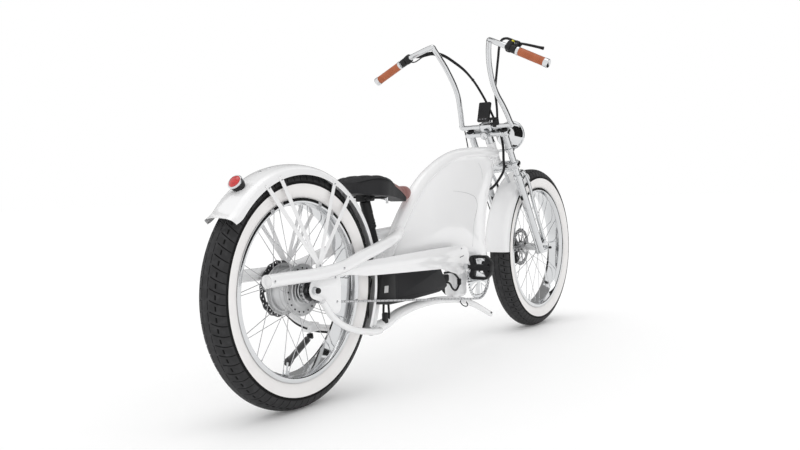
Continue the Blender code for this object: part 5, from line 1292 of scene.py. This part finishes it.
def calipers():
    """Two blocks and a bridge round each rotor."""
    place = REAR + (0.080, 0.0626, -0.010)
    turn = np.array(Matrix.Rotation(radians(7), 3, "Y"))
    shape = Shape(BLACK_METAL)
    shape.block((0.034, 0.0075, 0.048), place + (0, -0.0130, 0), turn, 0.003)
    shape.block((0.034, 0.0160, 0.048), place + (0, 0.0090, 0), turn, 0.004)
    shape.block((0.010, 0.034, 0.048), place + turn @ np.array((0.0125, 0.0, 0.0)), turn, 0.003)
    for z in (-0.014, 0.014):
        bolt(shape, place + turn @ np.array((0.0, 0.0165, z)), (0, 1, 0), 0.0045, 0.004, POLISHED)
    shape.finish("rear_brake_body", "frame", ["rear_caliper"], "black_metal")

    place = fork(0.632, -0.006, 0.0576)
    shape = Shape(BLACK_METAL)
    for size, offset in (((0.034, 0.0080, 0.052), (0, -0.0075, 0)), ((0.034, 0.0080, 0.052), (0, 0.0080, 0)),
                         ((0.010, 0.023, 0.052), (-0.0125, 0.0, 0))):
        shape.block(size, place + FORK_TURN @ np.array(offset), FORK_TURN, 0.003)
    bolt(shape, place - (0, 0.0115, 0), (0, -1, 0), 0.010, 0.004, DARK_STEEL)
    shape.finish("front_brake_body", "fork_lowers", ["front_caliper"], "black_metal")


# Fork


def fork_pieces():
    """The stanchions in their lower crown, the upper crown with the bar's clamp, and the sliders with their rods."""
    shape = Shape(CHROME)
    shape.bar(fork(-0.052, 0), fork(0.117, 0), 0.0143, 36, 0.1)
    shape.block((0.046, 0.212, 0.024), fork(0.120, 0), FORK_TURN, 0.010, 5)
    shape.bar(fork(0.1055, 0), fork(0.122, 0), 0.019, 40, 0.1)
    for side in (RIGHT, LEFT):
        y = side * STANCHION_Y
        shape.bar(fork(-0.056, 0, y), fork(0.430, 0, y), 0.0139, 40, 0.1)
        shape.bar(fork(0.106, 0, y), fork(0.134, 0, y), 0.0215, 40, 0.2)
        bolt(shape, fork(0.120, 0.024, side * 0.052), ACROSS_FORK, 0.005, 0.004, BLACK_METAL)
        shape.use(CHROME)
    shape.finish("fork_stanchions", "steering", ["fork_upper"], "chrome")

    shape = Shape(CHROME)
    shape.block((0.044, 0.210, 0.018), fork(-0.045, 0), FORK_TURN, 0.008, 5)
    shape.bar(fork(-0.0003, 0), fork(-0.045, 0), 0.019, 40, 0.1)
    clamp = np.array((1.298, 0.0, 0.930))
    shape.block((0.040, 0.060, 0.040), clamp, FORK_TURN, 0.014, 6)
    for side in (RIGHT, LEFT):
        y = side * STANCHION_Y
        shape.use(CHROME).bar(fork(-0.0555, 0, y), fork(-0.034, 0, y), 0.0215, 40, 0.2)
        cap = [(0.0, 0.0050), (0.0120, 0.0042), (0.0155, 0.0018), (0.0160, -0.002), (0.0, -0.002)]
        shape.use(BLACK).turned(cap, fork(-0.0560, 0, y), -DOWN_FORK, 40)
        for n in (-0.013, 0.013):
            spot = clamp + FORK_TURN @ np.array((n, side * 0.020, 0.0195))
            bolt(shape, spot, -DOWN_FORK, 0.0042, 0.004, DARK_STEEL)
    dome = [(0.0, 0.020), (0.006, 0.0192), (0.012, 0.0160), (0.0165, 0.0100), (0.018, 0.0020), (0.018, -0.004),
            (0.0, -0.004)]
    shape.use(CHROME).turned(np.vstack([curve(dome[:-1], 5), dome[-1:]]), fork(-0.052, -0.030), -ACROSS_FORK, 40)
    shape.finish("top_crown_plate", "steering", ["upper_crown"], "polished_alloy")

    shape = Shape(CHROME)
    for side in (RIGHT, LEFT):
        y = side * STANCHION_Y
        slider = [(0.0146, 0.170), (0.0180, 0.170), (0.0198, 0.174), (0.0198, 0.190), (0.0180, 0.194),
                  (0.0178, 0.590), (0.0150, 0.598), (0.0, 0.600)]
        inner = [(0.0, 0.470), (0.0146, 0.468)]
        shape.turned(rounded(slider + inner, 0.0012, closed=True), fork(0, 0, y), DOWN_FORK, 44, loop=True)
        rod = curve([fork(0.186, 0.0, y), fork(0.176, 0.032, y), fork(0.200, 0.060, y), fork(0.40, 0.063, y),
                     fork(0.592, 0.063, y)], 14)
        shape.tube(rod, 0.008, 28)
        corners = ((0.545, -0.012), (0.545, 0.072), (0.645, 0.092), (0.652, 0.068), (0.606, -0.012))
        outline = rounded([fork(*q)[[0, 2]] for q in corners], 0.008, closed=True)
        low, high = sorted((side * 0.070, side * 0.076))
        shape.plate(outline, low, high, [circle(FRONT, 0.0048, 24)], 0.001)
        for s in (0.21, 0.44, 0.575):
            bolt(shape, fork(s, 0.063, y + side * 0.007), (0, side, 0), 0.0035, 0.0025, POLISHED)
            shape.use(CHROME)
        for s in (0.215, 0.572):
            shape.bar(fork(s, 0.006, y), fork(s, 0.060, y), 0.0055, 18)
    arch = [fork(0.200, 0.0, STANCHION_Y - 0.002), fork(0.180, 0.026, STANCHION_Y - 0.014), fork(0.170, 0.036, 0.012)]
    both = arch + [p * (1, -1, 1) for p in arch[::-1]]
    shape.tube(curve(both, 10), 0.008, 28)
    shape.bar(fork(0.170, 0.036), fork(0.256, 0.054), 0.007, 20)
    shape.finish("fork_sliders", "fork_lowers", ["fork_lowers"], "polished_alloy")


# Handlebar and what it carries


BAR = [
    (1.053, 0.400, 1.139), (1.0524, 0.340, 1.1683), (1.0516, 0.280, 1.1976), (1.0512, 0.228, 1.2229),
    (1.062, 0.182, 1.243), (1.079, 0.143, 1.2595), (1.084, 0.134, 1.262), (1.090, 0.129, 1.251),
    (1.112, 0.115, 1.216), (1.148, 0.100, 1.162), (1.207, 0.092, 1.077), (1.262, 0.108, 0.998),
    (1.290, 0.118, 0.946), (1.297, 0.120, 0.932),
    (1.298, 0.108, 0.930), (1.298, 0.040, 0.930),
]
GRIP_INNER, GRIP_OUTER = np.array((1.0515, 0.272, 1.2015)), np.array((1.053, 0.392, 1.143))


def handlebar():
    """The tall bar, and on each side a leather grip with its seam between two chrome collars."""
    shape = Shape(CHROME)
    points = BAR + [(x, -y, z) for x, y, z in BAR[::-1]]
    shape.tube(curve(points, 12), 0.011, 32, 0.15)
    shape.finish("tall_bars", "steering", ["handlebar"], "polished_alloy")
    for side, word in SIDES:
        inner, outer = GRIP_INNER * (1, side, 1), GRIP_OUTER * (1, side, 1)
        run = unit(outer - inner)
        length = np.linalg.norm(outer - inner)
        shape = Shape(GRIP_HIDE)
        ring = [(0.0120, 0.010), (0.0158, 0.011), (0.0165, 0.014), (0.0166, length / 2), (0.0165, length - 0.004),
                (0.0120, length - 0.003)]
        shape.turned(rounded(ring, 0.001), inner, run, 56)
        shape.use(CHROME)
        collar = [(0.0115, 0.0), (0.0172, 0.0), (0.0176, 0.003), (0.0176, 0.009), (0.0168, 0.012), (0.0115, 0.012)]
        shape.turned(rounded(collar, 0.001, closed=True), inner, run, 48, loop=True)
        end = [(0.0115, length - 0.006), (0.0172, length - 0.006), (0.0178, length - 0.001), (0.0178, length + 0.011),
               (0.0165, length + 0.0135), (0.0150, length + 0.0120), (0.0, length + 0.0115)]
        shape.turned(rounded(end, 0.0008), inner, run, 48)
        shape.use(THREAD)
        stitches = np.linspace(0.016, length - 0.009, 34)
        down = unit(np.cross(run, (1.0, 0.0, 0.0))) * (-side)
        for s in stitches[:-1]:
            spot = inner + run * s + down * 0.0167
            shape.bar(spot, spot + run * (stitches[1] - stitches[0]) * 0.6, 0.0005, 6)
        shape.finish("grip_cover_" + word, "steering", ["grip_" + word], "brown_leather")


def lever_axes(side):
    """A grip's inner end, the way out along the grip, the way to the lever, and the lever's axis."""
    inner = GRIP_INNER * (1, side, 1)
    run = unit(GRIP_OUTER * (1, side, 1) - inner)
    lift = radians(62 if side == RIGHT else 30)
    out = np.array((cos(lift), 0.0, sin(lift)))
    out = unit(out - run * (out @ run))
    return inner, run, out, np.cross(run, out)


def controls():
    """On each side a clamp with its switch pod, the lever on its pin, and a round bell or a push button."""
    ring = [(0.0115, -0.026), (0.0155, -0.026), (0.0165, -0.024), (0.0165, -0.006), (0.0155, -0.004),
            (0.0115, -0.004)]
    for side, word in SIDES:
        inner, run, out, axis = lever_axes(side)
        pivot = inner - run * 0.014 + out * 0.032
        turn = np.column_stack([run, out, axis])
        shape = Shape(BLACK)
        shape.turned(rounded(ring, 0.001, closed=True), inner, run, 48, loop=True)
        for way in (-1, 1):
            shape.block((0.018, 0.034, 0.0052), inner - run * 0.015 + out * 0.020 + axis * way * 0.0072, turn, 0.002)
        shape.block((0.018, 0.020, 0.018), inner - run * 0.015 + out * 0.012, turn, 0.004)
        shape.block((0.026, 0.040, 0.036), inner - run * 0.038 + out * 0.004, turn, 0.009, 5)
        shape.use(DARK_STEEL).bar(pivot - axis * 0.0095, pivot + axis * 0.0095, 0.0042, 18)
        bolt(shape, inner - run * 0.015 + out * 0.020 + axis * 0.010, axis, 0.0045, 0.003)
        barrel = pivot - run * 0.012 + out * 0.002
        shape.use(BLACK_METAL).bar(barrel, barrel - run * 0.026, 0.0048, 18)
        shape.use(BLACK)
        if side == RIGHT:
            top = inner - run * 0.038 + out * 0.0240
            shape.turned([(0.0056, -0.002), (0.0085, -0.002), (0.0085, 0.0012), (0.0056, 0.0016)], top, out, 32)
            knob = rounded([(0.0, -0.006), (0.0068, -0.006), (0.0072, 0.003), (0.0, 0.004)], 0.0015)
            for back in (0.020, 0.006):
                shape.turned(knob, inner - run * back + out * 0.031 - axis * 0.004, out, 28)
        else:
            bell = inner - run * 0.040 + out * 0.020
            dome = [(0.0, 0.0160), (0.0060, 0.0155), (0.0095, 0.0130), (0.0130, 0.0070), (0.0145, 0.0), (0.0, 0.0)]
            shape.turned(np.vstack([curve(dome[:-1], 5), dome[-1:]]), bell, out, 40)
        shape.finish("switch_pod_" + word, "steering", ["lever_clamp_" + word], "black_plastic")

        lever = Shape(BLACK_METAL)
        path = curve([pivot, pivot + run * 0.030 + out * 0.007, pivot + run * 0.104 + out * 0.020], 16)
        sizes = (0.0055, 0.0045, 0.0050, 0.0054, 0.0068)
        lever.tube(path, np.interp(np.linspace(0, 1, len(path)), (0, 0.15, 0.5, 0.9, 1), sizes), 20, 0.6)
        lever.bar(pivot - axis * 0.0038, pivot + axis * 0.0038, 0.0078, 28, 0.2)
        lever.finish("brake_blade_" + word, "brake_lever_" + word, ["brake_lever_" + word], "black_metal")
    inner, run, out, axis = lever_axes(RIGHT)
    button = Shape(YELLOW)
    cap = [(0.0, -0.0030), (0.0055, -0.0030), (0.0070, 0.0020), (0.0075, 0.0082), (0.0, 0.0088)]
    button.turned(rounded(cap, 0.0010), inner - run * 0.038 + out * 0.0245, out, 32)
    button.finish("push_button", "power_button", ["power_button"], "yellow_plastic")


def display():
    """A slim screen with three keys below it, on its bracket."""
    turn = np.array(Matrix.Rotation(radians(16), 3, "Y"))
    place = np.array((1.272, -0.004, 0.992))
    shape = Shape(BLACK)
    shape.block((0.016, 0.056, 0.088), place, turn, 0.005, 4)
    shape.block((0.018, 0.018, 0.040), (1.292, -0.044, 0.946), edge=0.003)
    shape.block((0.032, 0.030, 0.010), (1.278, -0.034, 0.962), edge=0.002)
    glass = place + turn @ np.array((-0.0078, 0.0, 0.008))
    shape.use(BLACK_METAL).block((0.0016, 0.046, 0.060), glass, turn, 0.0007)
    for y in (-0.014, 0.0, 0.014):
        key = place + turn @ np.array((-0.0080, y, -0.034))
        shape.use(GREY).block((0.0020, 0.008, 0.005), key, turn, 0.0009)
    shape.finish("display_case", "steering", ["display"], "black_plastic")


def headlight():
    """A chrome bowl with a rolled rim, on two arms from the stanchions, and a fluted glass."""
    face = np.array((1.540, 0.0, 0.902))
    outer = [(0.0, -0.090), (0.016, -0.0885), (0.030, -0.082), (0.042, -0.070), (0.0505, -0.055), (0.057, -0.034),
             (0.0602, -0.014)]
    rim = [(0.0612, -0.0105), (0.0655, -0.0090), (0.0662, -0.0040), (0.0655, 0.0), (0.0608, 0.0006)]
    inner = [(0.0604, -0.0050), (0.0565, -0.030), (0.0465, -0.059), (0.0290, -0.079), (0.0, -0.087)]
    shape = Shape(CHROME)
    shape.turned(np.vstack([curve(outer, 6), rounded(rim, 0.002), curve(inner, 6)]), face, (1, 0, 0), 96)
    under = face + (-0.050, 0.0, -0.052)
    shape.bar(under, under - (0, 0, 0.022), 0.009, 28)
    for side in (RIGHT, LEFT):
        collar = fork(0.0415, 0, side * STANCHION_Y)
        shape.bar(collar - DOWN_FORK * 0.008, collar + DOWN_FORK * 0.008, 0.0185, 36, 0.15)
        arm = curve([collar + ACROSS_FORK * 0.016, collar + (0.056, -side * 0.018, -0.004),
                     under + (0.0, side * 0.001, -0.016)], 10)
        shape.tube(arm, 0.006, 22)
        bolt(shape, collar + (0, side * 0.0180, 0), (0, side, 0), 0.0045, 0.004, DARK_STEEL)
        shape.use(CHROME)
    shape.use(POLISHED)
    shape.bar(face - (0.080, 0, 0), face - (0.045, 0, 0), 0.009, 24)
    shape.finish("headlamp_bowl", "steering", ["headlight_shell"], "chrome")
    lens = Shape(GLASS)
    edge = 0.0602
    dome = [(0.0, 0.0095), (0.020, 0.0088), (0.040, 0.0062), (0.052, 0.0028), (edge, -0.0005)]
    lens.turned(np.vstack([curve(dome, 6), [(edge, -0.0028), (0.0, -0.0028)]]), face, (1, 0, 0), 80)
    lens.finish("headlamp_glass", "steering", ["headlight_lens"], "clear_lens")


# Cables


LOOM_LEFT = [
    (1.092, 0.214, 1.231), (1.118, 0.182, 1.244), (1.170, 0.158, 1.246), (1.244, 0.110, 1.204),
    (1.275, 0.070, 1.158), (1.308, 0.022, 1.069), (1.334, -0.024, 0.955),
]
LOOM_RIGHT = [
    (1.083, -0.210, 1.260), (1.102, -0.179, 1.257), (1.132, -0.154, 1.238), (1.166, -0.131, 1.204),
    (1.210, -0.100, 1.150), (1.252, -0.070, 1.078), (1.306, -0.048, 1.000), (1.334, -0.034, 0.955),
]
NOSE_HOLE = np.array((1.29, -0.012, 0.660))


def cables():
    """The loom's arms run from the levers' barrels to a joint and down into the body; the hose runs to the caliper."""
    down = [
        (1.334, -0.029, 0.970), (1.348, -0.040, 0.905), fork(0.030, 0.014, -0.046), fork(0.080, -0.014, -0.046),
        fork(0.122, -0.036, -0.044), (1.352, -0.030, 0.705), NOSE_HOLE + (0.022, 0.0, 0.004),
        NOSE_HOLE - (0.018, 0.0, 0.0),
    ]
    shape = Shape(CABLE)
    shape.tube(curve(down, 12), 0.0055, 24)
    for side, points in ((LEFT, LOOM_LEFT), (RIGHT, LOOM_RIGHT)):
        inner, run, out, axis = lever_axes(side)
        path = curve([inner - run * 0.048 + out * 0.034, *points], 12)
        shape.use(CABLE).tube(path, 0.0050, 18)
        beside = path + (0.0, 0.0, 0.0062) * np.sin(np.linspace(0, pi, len(path)))[:, None]
        shape.tube(beside, 0.0022, 14)
        for share in (0.35, 0.75):
            k = int(share * len(path))
            tie, half = path[k] + (0, 0, 0.001), unit(path[k + 1] - path[k]) * 0.003
            shape.use(BLACK).bar(tie - half, tie + half, 0.0066, 16)
    shape.use(BLACK).bar((1.334, -0.029, 0.972), (1.336, -0.032, 0.940), 0.0095, 24)
    loom = shape.finish("wiring_loom", None, ["cable_loom"], "cable_rubber")
    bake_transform(loom)
    inner, run, out, axis = lever_axes(LEFT)
    brake = [
        inner - run * 0.034 + out * 0.016 - axis * 0.010, (1.092, 0.244, 1.212), (1.112, 0.192, 1.234),
        (1.128, 0.140, 1.232), (1.160, 0.108, 1.174), (1.219, 0.100, 1.086), (1.276, 0.116, 1.004),
        fork(-0.060, 0.040, 0.132), fork(0.120, -0.012, 0.120),
        fork(0.240, -0.026, 0.098), fork(0.560, -0.028, 0.086), fork(0.612, -0.044, 0.062),
        fork(0.632, -0.0262, 0.0575),
    ]
    shape = Shape(CABLE)
    shape.tube(curve(brake, 14), 0.0025, 18)
    hose = shape.finish("front_brake_hose", None, ["front_brake_cable"], "cable_rubber")
    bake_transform(hose)


# Stage


def studio():
    """A white floor in a white surround, a soft lamp overhead, and dark cards that only metal shows."""

    def sheet(name, corners, finish):
        mesh = bpy.data.meshes.new(name)
        mesh.from_pydata(corners, [], [(0, 1, 2, 3)])
        mesh.materials.append(finish.material)
        item = bpy.data.objects.new(name, mesh)
        bpy.context.scene.collection.objects.link(item)
        return item

    reach, card_low, card_high = 30.0, 0.05, 12.0
    white = Finish("floor", (0.95, 0.95, 0.95), 0.9, Specular_IOR_Level=0.0, Emission_Strength=1.0)
    rays = [white.add("ShaderNodeLightPath", out="Is " + ray + " Ray") for ray in ("Camera", "Glossy", "Transmission")]
    white.feed("Emission Color", (rays[0] + rays[1] + rays[2]) * 0.06)
    sheet("floor", [(-reach, -reach, 0), (reach, -reach, 0), (reach, reach, 0), (-reach, reach, 0)], white)
    for name, near, far, shade in (
        ("right_card", (1.54, -4.78), (5.74, -1.67), 0.02), ("left_card", (0.75, 5.2), (2.1, 5.1), 0.02),
        ("far_card", (7.1, -0.2), (3.0, 6.0), 0.30),
    ):
        card = Finish(name, (shade, shade, shade), 0.9, Specular_IOR_Level=0.0)
        corners = [(*near, card_low), (*far, card_low), (*far, card_high), (*near, card_high)]
        dark = sheet(name, corners, card)
        dark.visible_camera = dark.visible_diffuse = dark.visible_shadow = dark.visible_transmission = False

    lamp = bpy.data.lights.new("overhead", "SUN")
    lamp.energy = 0.30
    lamp.angle = radians(40)
    above = bpy.data.objects.new("overhead", lamp)
    bpy.context.scene.collection.objects.link(above)

    world = bpy.data.worlds.new("surround")
    bpy.context.scene.world = world
    world.use_nodes = True
    tree = world.node_tree
    sky = tree.nodes["Background"]
    path = tree.nodes.new("ShaderNodeLightPath")
    seen = path.outputs["Is Camera Ray"]
    for ray in ("Is Glossy Ray", "Is Transmission Ray"):
        either = tree.nodes.new("ShaderNodeMath")
        either.operation = "MAXIMUM"
        tree.links.new(seen, either.inputs[0])
        tree.links.new(path.outputs[ray], either.inputs[1])
        seen = either.outputs[0]
    mixed = tree.nodes.new("ShaderNodeMix")
    mixed.data_type = "RGBA"
    mixed.inputs[6].default_value = (0.94, 0.94, 0.94, 1.0)
    mixed.inputs[7].default_value = (1.0, 1.0, 1.0, 1.0)
    tree.links.new(seen, mixed.inputs[0])
    tree.links.new(mixed.outputs[2], sky.inputs["Color"])
    sky.inputs["Strength"].default_value = 1.0
    bpy.context.scene.view_settings.view_transform = "Standard"


set_camera()
wheels()
main_frame()
lower_frame()
rear_ends()
body_sides()
guard()
battery()
fenders()
tail_light()
saddle()
seat_posts()
kickstand()
chain()
sprockets()
cranks()
calipers()
fork_pieces()
handlebar()
controls()
display()
headlight()
cables()
studio()
